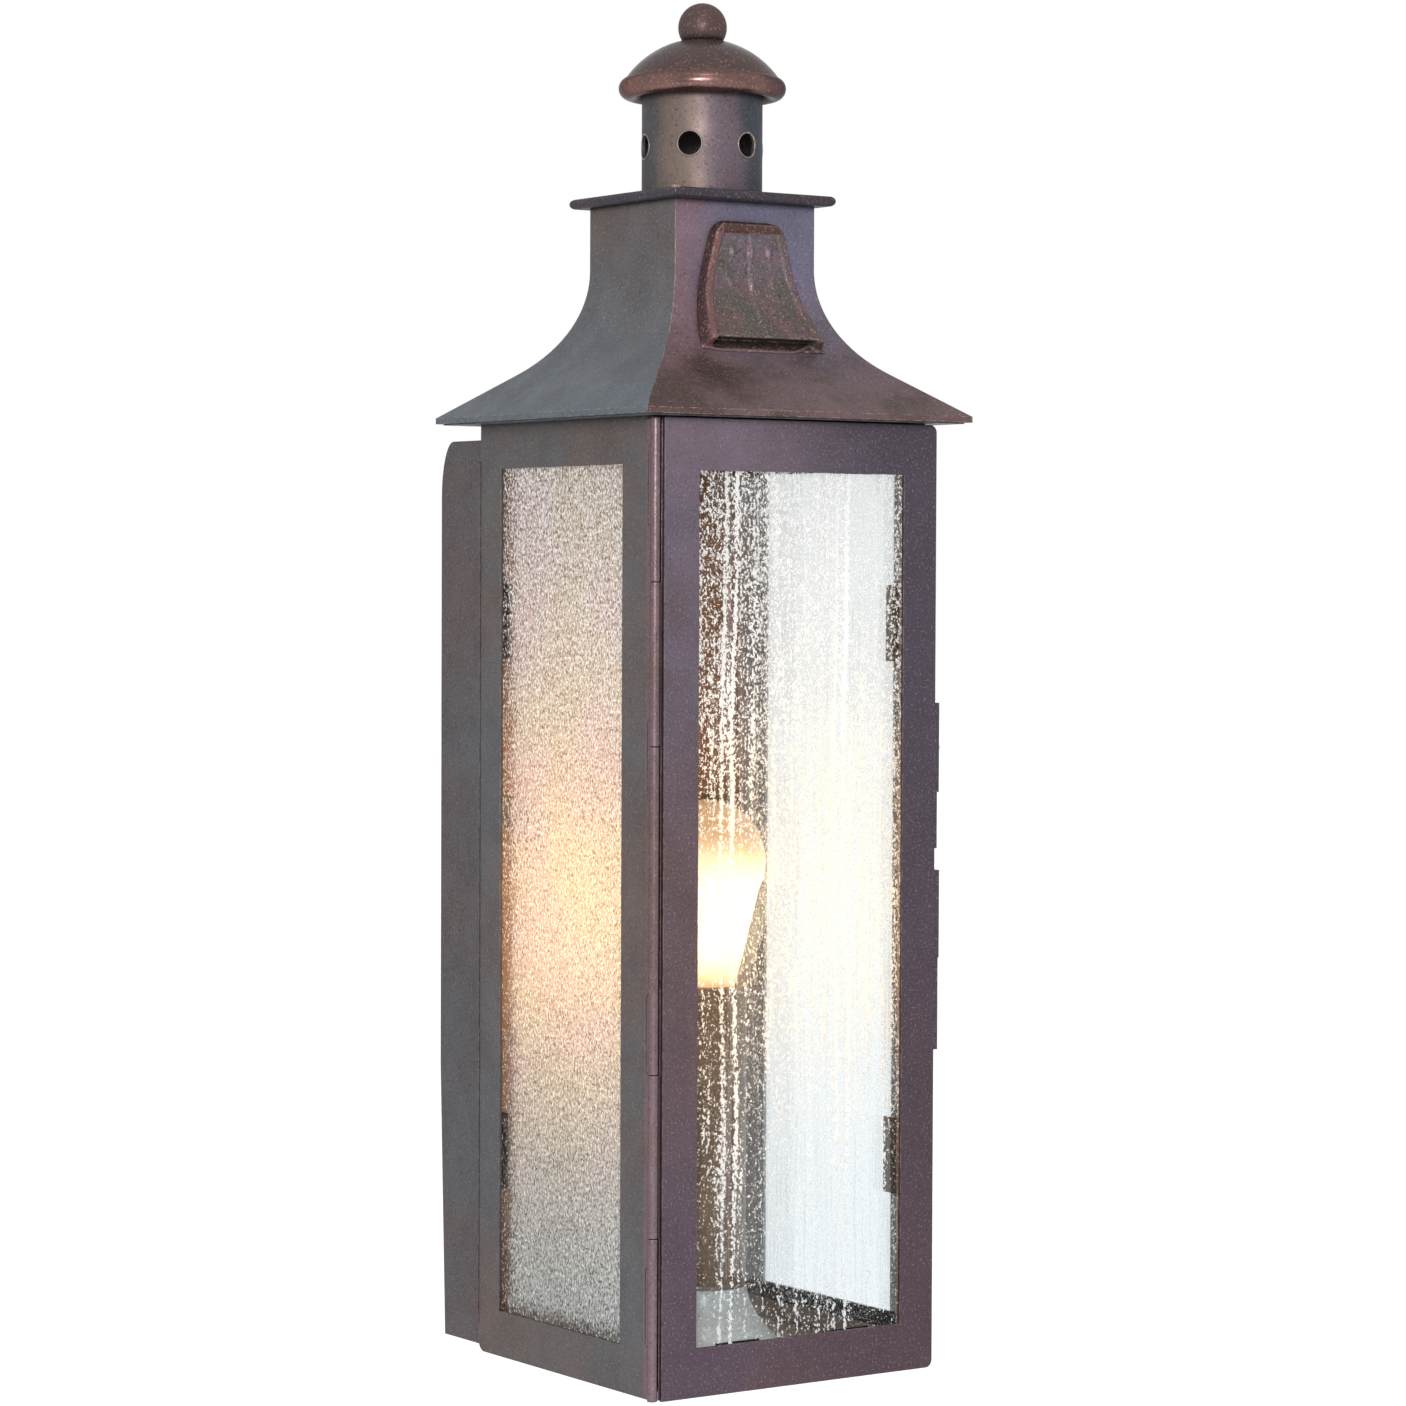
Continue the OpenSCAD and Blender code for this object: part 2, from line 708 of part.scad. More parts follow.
module stack_cap() {
    ring_t = 1.4;
    color([0.37, 0.31, 0.30]) translate([0, roof_y, 0]) rotate_extrude($fn = shell_fn)
        difference() {
            union() {
                intersection() {
                    translate([0, crown_z]) difference() {
                        circle(r = crown_r, $fn = 2 * shell_fn);
                        circle(r = crown_r - sheet_t, $fn = 2 * shell_fn);
                    }
                    translate([stud_hole_r, bead_z + cap_bead_r - 2]) square([crown_r, crown_r]);
                }
                translate([bead_x, bead_z]) circle(r = cap_bead_r, $fn = hole_fn);
                translate([stack_r + cap_fit, bead_z - ring_t / 2])
                    square([bead_x - stack_r, ring_t]);
            }
            translate([0, bead_z - cap_bead_r]) square([stack_r + cap_fit, 2 * cap_bead_r]);
        }
}

module finial_ball() {
    color([0.37, 0.31, 0.30]) translate([0, roof_y, 0]) difference() {
        translate([0, 0, ball_z]) sphere(r = ball_r, $fn = shell_fn);
        translate([0, 0, crown_z]) sphere(r = crown_r, $fn = 2 * shell_fn);
        rod_z([0, 0, crown_top - cut], finial_stud_r, ball_up + cut);
    }
}

module finial_stud() {
    under_crown = crown_z + sqrt(pow(crown_r - sheet_t, 2) - pow(finial_nut_d / 2, 2));
    tail_z = under_crown - 2 * finial_nut_h;
    color([0.62, 0.60, 0.56]) translate([0, roof_y, 0]) {
        rod_z([0, 0, tail_z], finial_stud_r, crown_top + ball_up - tail_z);
        translate([0, 0, under_crown - finial_nut_h])
            cylinder(d = finial_nut_d, h = finial_nut_h, $fn = 6);
    }
}

// ---------------------------------------------------------------- side glass

module side_pane() {
    block([inner_x - glass_t, side_win_y0 - glass_overlap, side_win_z0 - glass_overlap],
          [inner_x, side_win_y1 + glass_overlap, side_win_z1 + glass_overlap]);
}

// A clip's cross-section. The pane's edge is at the origin, +X runs over the glass and +Y away
// from the sheet that the clip's foot is welded to
module clip_outline() {
    riser = -clip_gap - clip_t;
    polygon([[-clip_foot, 0], [-clip_gap, 0], [-clip_gap, glass_t], [clip_tip, glass_t],
             [clip_tip, glass_t + clip_t], [riser, glass_t + clip_t], [riser, clip_t],
             [-clip_foot, clip_t]]);
}

// The four clips of a side pane at the right: two in front and two behind
module side_clips() {
    for (z = [clip_low, clip_high])
        translate([inner_x, 0, bottom_z + z - clip_l / 2]) {
            translate([0, side_win_y0 - glass_overlap, 0])
                rotate([0, 0, 90]) linear_extrude(clip_l) clip_outline();
            translate([0, side_win_y1 + glass_overlap, 0])
                mirror([0, 1, 0]) rotate([0, 0, 90]) linear_extrude(clip_l) clip_outline();
        }
}

module left_glass() {
    color([0.80, 0.86, 0.86, 0.5]) mirror([1, 0, 0]) side_pane();
}
module right_glass() {
    color([0.80, 0.86, 0.86, 0.5]) side_pane();
}
module left_glass_clips() {
    color([0.45, 0.40, 0.34]) mirror([1, 0, 0]) side_clips();
}
module right_glass_clips() {
    color([0.45, 0.40, 0.34]) side_clips();
}

// ---------------------------------------------------------------- hinge

// Knuckles with the given numbers, as solid rods
module knuckles(numbers, r) {
    for (i = numbers) {
        z0 = hinge_z0 + hinge_h * knuckle_stops[i] + knuckle_gap / 2;
        z1 = hinge_z0 + hinge_h * knuckle_stops[i + 1] - knuckle_gap / 2;
        rod_z([hinge_x, hinge_y, z0], r, z1 - z0);
    }
}

// Room that the other half's knuckles with the given numbers need in a leaf
module knuckle_room(numbers) {
    for (i = numbers) {
        z0 = hinge_z0 + hinge_h * knuckle_stops[i] - knuckle_gap / 2;
        z1 = hinge_z0 + hinge_h * knuckle_stops[i + 1] + knuckle_gap / 2;
        rod_z([hinge_x, hinge_y, z0], knuckle_r + knuckle_clear, z1 - z0);
    }
}

module hinge_body_leaf() {
    color([0.46, 0.41, 0.39]) difference() {
        union() {
            knuckles([0, 2, 4], knuckle_r);
            block([left_x - leaf_t, hinge_y, hinge_z0 + knuckle_gap],
                  [left_x, front_y + body_leaf_w, hinge_z0 + hinge_h - knuckle_gap]);
        }
        knuckle_room([1, 3]);
        rod_z([hinge_x, hinge_y, hinge_z0 - cut], pin_r, hinge_h + 2 * cut);
    }
}

module hinge_door_leaf() {
    color([0.46, 0.41, 0.39]) difference() {
        union() {
            knuckles([1, 3], knuckle_r);
            block([hinge_x, door_back_y, hinge_z0 + knuckle_gap],
                  [left_x + door_leaf_w, door_back_y + leaf_t, hinge_z0 + hinge_h - knuckle_gap]);
        }
        knuckle_room([0, 2, 4]);
        rod_z([hinge_x, hinge_y, hinge_z0 - cut], pin_r + pin_clear, hinge_h + 2 * cut);
    }
}

module hinge_pin() {
    color([0.50, 0.45, 0.42]) rod_z([hinge_x, hinge_y, hinge_z0], pin_r, hinge_h);
}

// ---------------------------------------------------------------- door

module door_outline() {
    r = door_corner_r;
    difference() {
        union() {
            translate([door_x0, bottom_z]) square([right_x - r - door_x0, door_z1 - bottom_z]);
            translate([right_x - r - cut, bottom_z + r])
                square([r + cut, door_z1 - bottom_z - 2 * r]);
            for (z = [bottom_z + r, door_z1 - r])
                translate([right_x - r, z]) circle(r = r, $fn = hole_fn);
        }
        translate([door_win_x0, door_win_z0])
            square([door_win_x1 - door_win_x0, door_win_z1 - door_win_z0]);
    }
}

module door_frame() {
    r = door_corner_r;
    color([0.40, 0.36, 0.38]) difference() {
        union() {
            along_y(front_y, sheet_t) door_outline();
            // folded edges at the top, the bottom and the latch side
            block([left_x + door_leaf_w + 2, door_back_y, bottom_z],
                  [right_x - r, front_y + door_edge_d, bottom_z + sheet_t]);
            block([left_x + door_leaf_w + 2, door_back_y, door_z1 - sheet_t],
                  [right_x - r, front_y + door_edge_d, door_z1]);
            block([right_x - sheet_t, door_back_y, bottom_z + r],
                  [right_x, front_y + door_edge_d, door_z1 - r]);
        }
        rod_x([right_x - sheet_t - cut, latch_y, latch_z], latch_pin_r, sheet_t + 2 * cut);
        for (z = pull_rivet_z)
            rod_x([right_x - sheet_t - cut, latch_y, z], pull_rivet_r, sheet_t + 2 * cut);
    }
}

module front_glass() {
    color([0.84, 0.88, 0.88, 0.5])
        block([door_win_x0 - glass_overlap, door_back_y, door_win_z0 - glass_overlap],
              [door_win_x1 + glass_overlap, door_back_y + glass_t, door_win_z1 + glass_overlap]);
}

module door_glass_clips() {
    mid = (door_win_x0 + door_win_x1) / 2;
    color([0.45, 0.40, 0.34])
        for (s = [-1, 1]) {
            x0 = mid + s * door_clip_pitch / 2 - door_clip_l / 2;
            along_x(x0, door_clip_l)
                translate([door_back_y, door_win_z0 - glass_overlap]) mirror([1, -1]) clip_outline();
            along_x(x0, door_clip_l)
                translate([door_back_y, door_win_z1 + glass_overlap]) rotate(-90) clip_outline();
        }
}

// ---------------------------------------------------------------- latch

module door_pull() {
    y0 = front_y + pull_back;
    z0 = bottom_z + pull_up;
    z1 = z0 + pull_h;
    color([0.40, 0.36, 0.37]) difference() {
        union() {
            block([right_x, y0, z0], [right_x + pull_t, front_y + door_edge_d, z1]);
            block([right_x, y0, z1 - pull_grip_h],
                  [right_x + pull_grip_t, front_y + door_edge_d, z1]);
        }
        for (z = pull_rivet_z)
            rod_x([right_x - cut, latch_y, z], pull_rivet_r, pull_grip_t + 2 * cut);
    }
}

module pull_rivets() {
    t = [pull_t, pull_grip_t];
    color([0.45, 0.41, 0.40])
        for (i = [0, 1]) {
            rod_x([right_x - sheet_t, latch_y, pull_rivet_z[i]], pull_rivet_r, sheet_t + t[i]);
            rod_x([right_x - sheet_t - rivet_head_h, latch_y, pull_rivet_z[i]],
                  rivet_head * pull_rivet_r, rivet_head_h);
        }
}

// The hook hangs from its rivet. Its tip has a notch that takes the keeper stud when swung back
module latch_hook() {
    tip_z = latch_z - latch_reach;
    head_y0 = latch_y - latch_head_w / 2;
    notch = keeper_r + keeper_clear;
    color([0.43, 0.38, 0.38]) difference() {
        union() {
            translate([latch_x, 0, 0]) block([0, head_y0, latch_z - latch_head_h / 2],
                [latch_head_t, head_y0 + latch_head_w, latch_z + latch_head_h / 2]);
            along_x(latch_x, latch_arm_t) polygon([
                [head_y0, latch_z], [head_y0 + latch_head_w, latch_z],
                [head_y0 + latch_tip_w, tip_z], [head_y0, tip_z]]);
        }
        rod_x([latch_x - cut, latch_y, latch_z], latch_pin_r + latch_pin_clear,
              latch_head_t + 2 * cut);
        rod_x([latch_x - cut, latch_y, latch_z - keeper_reach], notch, latch_head_t + 2 * cut);
        block([latch_x - cut, latch_y, latch_z - keeper_reach - notch],
              [latch_x + latch_head_t + cut, latch_y + latch_head_w,
               latch_z - keeper_reach + notch]);
    }
}

module latch_rivet() {
    shank = sheet_t + 2 * latch_side_gap + latch_head_t;
    color([0.50, 0.45, 0.43]) {
        rod_x([right_x - sheet_t, latch_y, latch_z], latch_pin_r, shank);
        for (x = [right_x - sheet_t + shank, right_x - sheet_t - rivet_head_h])
            rod_x([x, latch_y, latch_z], rivet_head * latch_pin_r, rivet_head_h);
    }
}

module keeper_stud() {
    color([0.50, 0.45, 0.43]) {
        rod_x([inner_x, keeper_y, keeper_z], keeper_r, sheet_t + keeper_l);
        rod_x([inner_x - stud_foot_h, keeper_y, keeper_z], 1.4 * keeper_r, stud_foot_h);
        rod_x([right_x + keeper_l, keeper_y, keeper_z], 1.6 * keeper_r, stud_head_h);
    }
}

// ---------------------------------------------------------------- wall pan and mounting

// Outline of the pan in Y and Z, moved inwards by inset: rounded at the top, leaning off the wall
// at the foot
module pan_outline(inset) {
    z0 = pan_z0 + inset;
    top = pan_z1 - pan_top_round;
    arc = [for (a = [0:9:90]) [-pan_top_set + (pan_top_set - inset) * cos(a),
                               top + (pan_top_round - inset) * sin(a)]];
    polygon(concat([[back_y + inset, z0], [-pan_foot_set, z0], [-inset, z0 + pan_foot_h]], arc,
                   [[back_y + inset, pan_z1 - inset]]));
}

// What the pan leaves open at the wall, between its bottom and its rounded top
module pan_mouth() {
    z0 = pan_z0 + sheet_t;
    polygon([[-pan_foot_set - 2 * sheet_t, z0], [cut, z0], [cut, pan_z1 - pan_top_round],
             [-2 * sheet_t, pan_z1 - pan_top_round]]);
}

module wall_pan() {
    hollow_x = pan_x - sheet_t;
    color([0.39, 0.37, 0.37]) {
        difference() {
            along_x(-pan_x, 2 * pan_x) pan_outline(0);
            along_x(-hollow_x, 2 * hollow_x) {
                pan_outline(sheet_t);
                pan_mouth();
            }
            for (s = [-1, 1])
                rod_y([s * stud_pitch / 2, back_y - cut, 0], stud_r + stud_clear,
                      sheet_t + 2 * cut);
            rod_y([0, back_y - cut, lead_z], grommet_hole_r, sheet_t + 2 * cut);
        }
        for (s = [0, 1]) mirror([s, 0, 0])
            block([pan_x, back_y, pan_z0 + bead_short],
                  [pan_x + bead_out, back_y + bead_w, pan_z1 - bead_short]);
    }
}

module mounting_bar() {
    color([0.70, 0.70, 0.68]) difference() {
        block([-bar_l / 2, -bar_t, -bar_w / 2], [bar_l / 2, 0, bar_w / 2]);
        for (s = [-1, 1]) {
            rod_y([s * stud_pitch / 2, -bar_t - cut, 0], stud_r + stud_clear, bar_t + 2 * cut);
            rod_y([s * box_pitch / 2, -bar_t - cut, 0], box_hole_r, bar_t + 2 * cut);
        }
        rod_y([0, -bar_t - cut, 0], bar_hole_r, bar_t + 2 * cut);
        rod_y([ground_screw_x, -bar_t - cut, 0], ground_screw_r, bar_t + 2 * cut);
    }
}

module mounting_studs() {
    reach = cap_nut_h + sheet_t;
    color([0.66, 0.66, 0.64])
        for (s = [-1, 1])
            rod_y([s * stud_pitch / 2, back_y - reach, 0], stud_r, pan_depth + reach);
}

module stud_lock_nuts() {
    color([0.66, 0.66, 0.64])
        for (s = [-1, 1])
            translate([s * stud_pitch / 2, -bar_t, 0]) rotate([90, 0, 0]) difference() {
                cylinder(d = lock_nut_d, h = lock_nut_h, $fn = 6);
                translate([0, 0, -cut])
                    cylinder(r = stud_r + close_fit, h = lock_nut_h + 2 * cut, $fn = hole_fn);
            }
}

module cap_nuts() {
    dome_r = cap_nut_r - 1;
    color([0.30, 0.26, 0.24])
        for (s = [-1, 1])
            translate([s * stud_pitch / 2, inner_back_y, 0]) rotate([90, 0, 0]) difference() {
                union() {
                    cylinder(r = cap_nut_r, h = cap_nut_h, $fn = hole_fn);
                    intersection() {
                        translate([0, 0, cap_nut_h]) sphere(r = dome_r, $fn = hole_fn);
                        cylinder(r = cap_nut_r, h = cap_nut_h + dome_r, $fn = hole_fn);
                    }
                }
                translate([0, 0, -cut])
                    cylinder(r = stud_r + close_fit, h = cap_nut_h + cut, $fn = hole_fn);
            }
}

// ---------------------------------------------------------------- wiring

module ground_screw() {
    color([0.25, 0.52, 0.30]) {
        rod_y([ground_screw_x, ground_wire_y + ground_wire_r, 0], 1.9 * ground_screw_r,
              ground_head_h);
        rod_y([ground_screw_x, -bar_t - ground_head_up, 0], ground_screw_r, bar_t);
    }
}

// One lead at sideways place x: down beside the socket tube, back under the cover and up again
// behind the back panel
module lead(x) {
    bend_z = lead_z + bend_r;
    translate([x, 0, 0]) {
        rod_z([0, lead_y0, bend_z], wire_r, socket_z0 + lead_in - bend_z);
        translate([0, lead_y0, bend_z]) lead_bend(1);
        rod_y([0, lead_y0 + bend_r, lead_z], wire_r, lead_y1 - lead_y0 - 2 * bend_r);
        translate([0, lead_y1, bend_z]) lead_bend(-1);
        rod_z([0, lead_y1, bend_z], wire_r, lead_top + lead_in - bend_z);
    }
}

// A quarter bend whose upper end is at the origin; side 1 runs on towards the wall
module lead_bend(side) {
    translate([0, side * bend_r, 0]) rotate([0, 90, 0]) rotate([0, 0, side > 0 ? 270 : 0])
        rotate_extrude(angle = 90, $fn = shell_fn)
            translate([bend_r, 0]) circle(r = wire_r, $fn = 24);
}

module black_lead() {
    color([0.12, 0.12, 0.12]) lead(-lead_x);
}
module white_lead() {
    color([0.90, 0.90, 0.88]) lead(lead_x);
}

module ground_wire() {
    y0 = back_y + sheet_t;
    color([0.72, 0.45, 0.20]) {
        rod_z([ground_screw_x, ground_wire_y, -ground_drop], ground_wire_r, ground_drop);
        for (z = [0, -ground_drop])
            translate([ground_screw_x, ground_wire_y, z]) sphere(r = ground_wire_r, $fn = 24);
        rod_y([ground_screw_x, y0, -ground_drop], ground_wire_r, ground_wire_y - y0);
    }
}

module wire_grommet() {
    r1 = grommet_hole_r + 0.8 * grommet_lip;
    color([0.15, 0.15, 0.15]) translate([0, 0, lead_z]) rotate([90, 0, 0])
        rotate_extrude($fn = hole_fn) polygon([
            [grommet_bore_r, -back_y - sheet_t - grommet_lip],
            [r1, -back_y - sheet_t - grommet_lip], [r1, -back_y - sheet_t],
            [grommet_hole_r, -back_y - sheet_t], [grommet_hole_r, -back_y + sheet_t],
            [r1, -back_y + sheet_t], [r1, -back_y + sheet_t + grommet_lip],
            [grommet_bore_r, -back_y + sheet_t + grommet_lip]]);
}

module wire_connectors() {
    color([0.85, 0.45, 0.12])
        for (s = [-1, 1]) translate([0, lead_y1, lead_top]) difference() {
            translate([s * connector_x, 0, 0]) rotate_extrude($fn = hole_fn) polygon([
                [0, 0], [connector_r, 0], [0.6 * connector_r, connector_l], [0, connector_l]]);
            rod_z([s * lead_x, 0, -cut], wire_r + easy_fit, lead_in + cut);
        }
}

module wire_cover() {
    h = lead_up + 2 * wire_r;
    y0 = lamp_y + cup_r + 4 * easy_fit;
    color([0.40, 0.37, 0.37]) difference() {
        block([-cover_w / 2, y0, floor_z], [cover_w / 2, inner_back_y - grommet_lip, floor_z + h]);
        block([-cover_w / 2 + cover_t, y0 - cut, floor_z - cut],
              [cover_w / 2 - cover_t, inner_back_y + cut, floor_z + h - cover_t]);
    }
}

// ---------------------------------------------------------------- lamp

module candle_sleeve() {
    slot_w = 2 * (lead_x + wire_r) + 2 * cover_t;
    color([0.36, 0.32, 0.30]) difference() {
        rod_z([0, lamp_y, floor_z + cover_t], sleeve_r, sleeve_z1 - floor_z - cover_t);
        rod_z([0, lamp_y, floor_z], sleeve_in, sleeve_z1 - floor_z + cut);
        block([-slot_w / 2, lamp_y, floor_z], [slot_w / 2, lamp_y + sleeve_r + cut,
               lead_z + bend_r]);
    }
}

module sleeve_cup() {
    color([0.38, 0.34, 0.33]) translate([0, lamp_y, floor_z]) difference() {
        cylinder(r = cup_r, h = cup_h, $fn = shell_fn);
        translate([0, 0, cover_t]) cylinder(r = sleeve_r + easy_fit, h = cup_h, $fn = shell_fn);
        translate([0, 0, -cut]) cylinder(r = tube_r + 2 * easy_fit, h = cup_h, $fn = hole_fn);
    }
}

module socket_tube() {
    color([0.70, 0.66, 0.50]) difference() {
        rod_z([0, lamp_y, bottom_z], tube_r, socket_z0 + socket_neck - bottom_z);
        rod_z([0, lamp_y, bottom_z - cut], tube_bore_r, socket_z0 + socket_neck - bottom_z + 2 * cut);
    }
}

module tube_nuts() {
    color([0.70, 0.66, 0.50])
        for (z = [floor_z - sheet_t - tube_nut_h, floor_z + cover_t, socket_z0 - tube_nut_h])
            translate([0, lamp_y, z]) difference() {
                cylinder(d = tube_nut_d, h = tube_nut_h, $fn = 6);
                translate([0, 0, -cut])
                    cylinder(r = tube_r + close_fit, h = tube_nut_h + 2 * cut, $fn = hole_fn);
            }
}

module socket_body() {
    color([0.14, 0.12, 0.11]) translate([0, lamp_y, 0]) difference() {
        rod_z([0, 0, socket_z0], socket_r, socket_h);
        rod_z([0, 0, contact_z], shell_r + shell_t, socket_h);
        rod_z([0, 0, socket_z0 - cut], tube_r + close_fit, socket_neck + cut);
        for (s = [-1, 1])
            rod_z([s * lead_x, lead_back, socket_z0 - cut], wire_r + easy_fit, lead_in + cut);
    }
}

module socket_shell() {
    color([0.78, 0.66, 0.38]) translate([0, lamp_y, 0]) difference() {
        rod_z([0, 0, contact_z], shell_r + shell_t, socket_h - socket_floor - 1.5);
        rod_z([0, 0, contact_z + shell_t], shell_r, socket_h);
        rod_z([0, 0, contact_z - cut], 2 * contact_r, 3 * cut);
    }
}

module socket_contact() {
    color([0.80, 0.62, 0.32]) rod_z([0, lamp_y, contact_z], contact_r, contact_h);
}

module bulb_base() {
    r = bulb_base_r - bulb_base_t;
    color([0.75, 0.73, 0.66]) translate([0, lamp_y, 0]) rotate_extrude($fn = hole_fn)
        polygon([[bulb_insulator_r, base_z0], [bulb_base_r - 2, base_z0],
                 [bulb_base_r, base_z0 + 4], [bulb_base_r, base_z1], [r, base_z1],
                 [r, base_z0 + 5], [bulb_insulator_r, base_z0 + insulator_h]]);
}

module bulb_contact() {
    color([0.20, 0.18, 0.16]) translate([0, lamp_y, 0]) rotate_extrude($fn = hole_fn)
        polygon([[0, base_z0 - tip_h], [bulb_insulator_r / 2, base_z0 - tip_h],
                 [bulb_insulator_r, base_z0], [bulb_insulator_r, base_z0 + insulator_h],
                 [0, base_z0 + insulator_h]]);
}

// Outline of the bulb in radius and height: neck, shoulder and round crown, moved in by inset
module bulb_outline(inset) {
    neck = bulb_base_r - bulb_base_t - neck_gap - inset;
    r = bulb_r - inset;
    shoulder = bulb_mid - shoulder_drop;
    intersection() {
        union() {
            translate([0, bulb_mid]) circle(r = r, $fn = shell_fn);
            polygon([[0, base_z1 - neck_in + inset], [neck, base_z1 - neck_in + inset],
                     [neck, base_z1 + 3], [sqrt(r * r - pow(shoulder_drop, 2)), shoulder],
                     [0, bulb_mid]]);
        }
        translate([0, base_z0]) square([2 * bulb_r, bulb_top]);
    }
}

module bulb_glass() {
    color([1.0, 0.93, 0.75, 0.6]) translate([0, lamp_y, 0]) rotate_extrude($fn = shell_fn)
        difference() {
            bulb_outline(0);
            bulb_outline(bulb_t);
        }
}

// Glass stem with two support wires and a coiled filament across them
module bulb_mount() {
    foot_z = base_z1 - neck_in + bulb_t;
    stem_top = bulb_mid - bulb_r / 3;
    wire_x = 0.75 * stem_r;
    color([0.95, 0.80, 0.45]) translate([0, lamp_y, 0]) {
        rod_z([0, 0, foot_z], stem_r, stem_top - foot_z);
        for (s = [-1, 1])
            rod_z([s * wire_x, 0, stem_top - cut], stem_wire_r, bulb_mid - stem_top + cut);
        rod_x([-filament_l / 2, 0, bulb_mid], stem_wire_r, filament_l);
    }
}

left_side_panel();
right_side_panel();
left_door_stop();
right_door_stop();
back_panel();
floor_plate();
top_header();
roof_seat();
roof_shell();
dormer_plate();
roof_top_plate();
vent_stack();
stack_cap();
finial_ball();
finial_stud();
roof_screws();
left_glass();
right_glass();
left_glass_clips();
right_glass_clips();
hinge_body_leaf();
hinge_pin();
keeper_stud();
wall_pan();
mounting_bar();
mounting_studs();
stud_lock_nuts();
cap_nuts();
ground_screw();
ground_wire();
wire_grommet();
black_lead();
white_lead();
wire_connectors();
wire_cover();
candle_sleeve();
sleeve_cup();
socket_tube();
tube_nuts();
socket_body();
socket_shell();
socket_contact();
door_frame();
front_glass();
door_glass_clips();
hinge_door_leaf();
door_pull();
pull_rivets();
latch_rivet();
latch_hook();
bulb_base();
bulb_contact();
bulb_glass();
bulb_mount();
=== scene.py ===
"""An outdoor wall lantern: finishes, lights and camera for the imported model, and the pieces that
the CAD has no shape for. Lengths are in metres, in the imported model's frame."""
import json
import math

import bmesh
import bpy
from mathutils import Matrix, Vector
from mathutils.bvhtree import BVHTree


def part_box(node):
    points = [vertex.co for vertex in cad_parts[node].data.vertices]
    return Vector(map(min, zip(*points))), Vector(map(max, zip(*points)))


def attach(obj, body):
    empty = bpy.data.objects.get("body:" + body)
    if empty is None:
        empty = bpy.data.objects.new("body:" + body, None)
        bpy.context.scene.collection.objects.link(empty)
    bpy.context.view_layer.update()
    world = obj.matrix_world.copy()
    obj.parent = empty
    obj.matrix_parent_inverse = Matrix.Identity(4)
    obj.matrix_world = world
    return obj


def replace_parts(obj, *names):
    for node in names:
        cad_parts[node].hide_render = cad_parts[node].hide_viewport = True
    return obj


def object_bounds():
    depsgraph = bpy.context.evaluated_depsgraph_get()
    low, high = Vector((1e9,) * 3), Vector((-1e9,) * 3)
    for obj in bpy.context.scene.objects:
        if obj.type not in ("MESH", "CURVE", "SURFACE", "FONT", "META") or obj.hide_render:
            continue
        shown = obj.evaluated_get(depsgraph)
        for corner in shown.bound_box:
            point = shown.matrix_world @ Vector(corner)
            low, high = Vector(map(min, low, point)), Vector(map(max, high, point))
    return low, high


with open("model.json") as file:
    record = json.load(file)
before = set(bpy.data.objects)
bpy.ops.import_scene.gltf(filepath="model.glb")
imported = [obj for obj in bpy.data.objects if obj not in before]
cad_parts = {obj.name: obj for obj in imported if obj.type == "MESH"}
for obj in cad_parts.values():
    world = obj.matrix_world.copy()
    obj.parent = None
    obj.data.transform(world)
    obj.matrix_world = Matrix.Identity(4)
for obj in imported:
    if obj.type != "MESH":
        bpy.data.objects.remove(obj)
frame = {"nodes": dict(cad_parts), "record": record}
cad_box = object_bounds()
NODES = frame["nodes"]
MM = 0.001

# ---------------------------------------------------------------- measures
# The vent holes: how many, the first one's direction from the x axis, their radius and their height
# above the top plate.
VENTS = 6
VENT_TURN = math.radians(283.6)
VENT_R = 4.9 * MM
VENT_UP = 19.2 * MM

# The hinge's tabs: the height of each one's top end, their length and half their width.
TAB_TOPS = (147 * MM, 44 * MM, -59 * MM, -162 * MM)
TAB_TALL = 30 * MM
TAB_HALF = 1 * MM

# The dark patch on the roof's front, below the dormer's left corner.
DARK_PATCH_X = -31 * MM
DARK_PATCH_Z = 176 * MM

# How far the paper floor lies below the lantern, half its width, and how brightly it is seen.
FLOOR_DROP = 0.25
FLOOR_HALF = 12
PAPER_GLOW = 0.62

# How brightly the world lights the lantern. Where it is seen, its strength is 1.
ROOM_LIGHT = 0.5

# ---------------------------------------------------------------- camera
LOOK_AT = Vector((0.0, -0.0932, 0.0481))
DISTANCE = 1.6325
TURN = math.radians(-34.542)
RISE = math.radians(1.636)
ROLL = math.radians(0.231)
LENS = 105.72
SENSOR = 36.0


def make_camera():
    data = bpy.data.cameras.new("Camera")
    data.lens = LENS
    data.sensor_width = SENSOR
    data.clip_start = 0.05
    turn = Matrix.Rotation(TURN, 4, "Z") @ Matrix.Rotation(math.pi / 2 - RISE, 4, "X")
    camera = bpy.data.objects.new("Camera", data)
    back = (turn.to_3x3() @ Vector((0, 0, 1))).normalized()
    place = Matrix.Translation(LOOK_AT + back * DISTANCE)
    camera.matrix_world = place @ turn @ Matrix.Rotation(ROLL, 4, "Z")
    bpy.context.scene.collection.objects.link(camera)
    bpy.context.scene.camera = camera


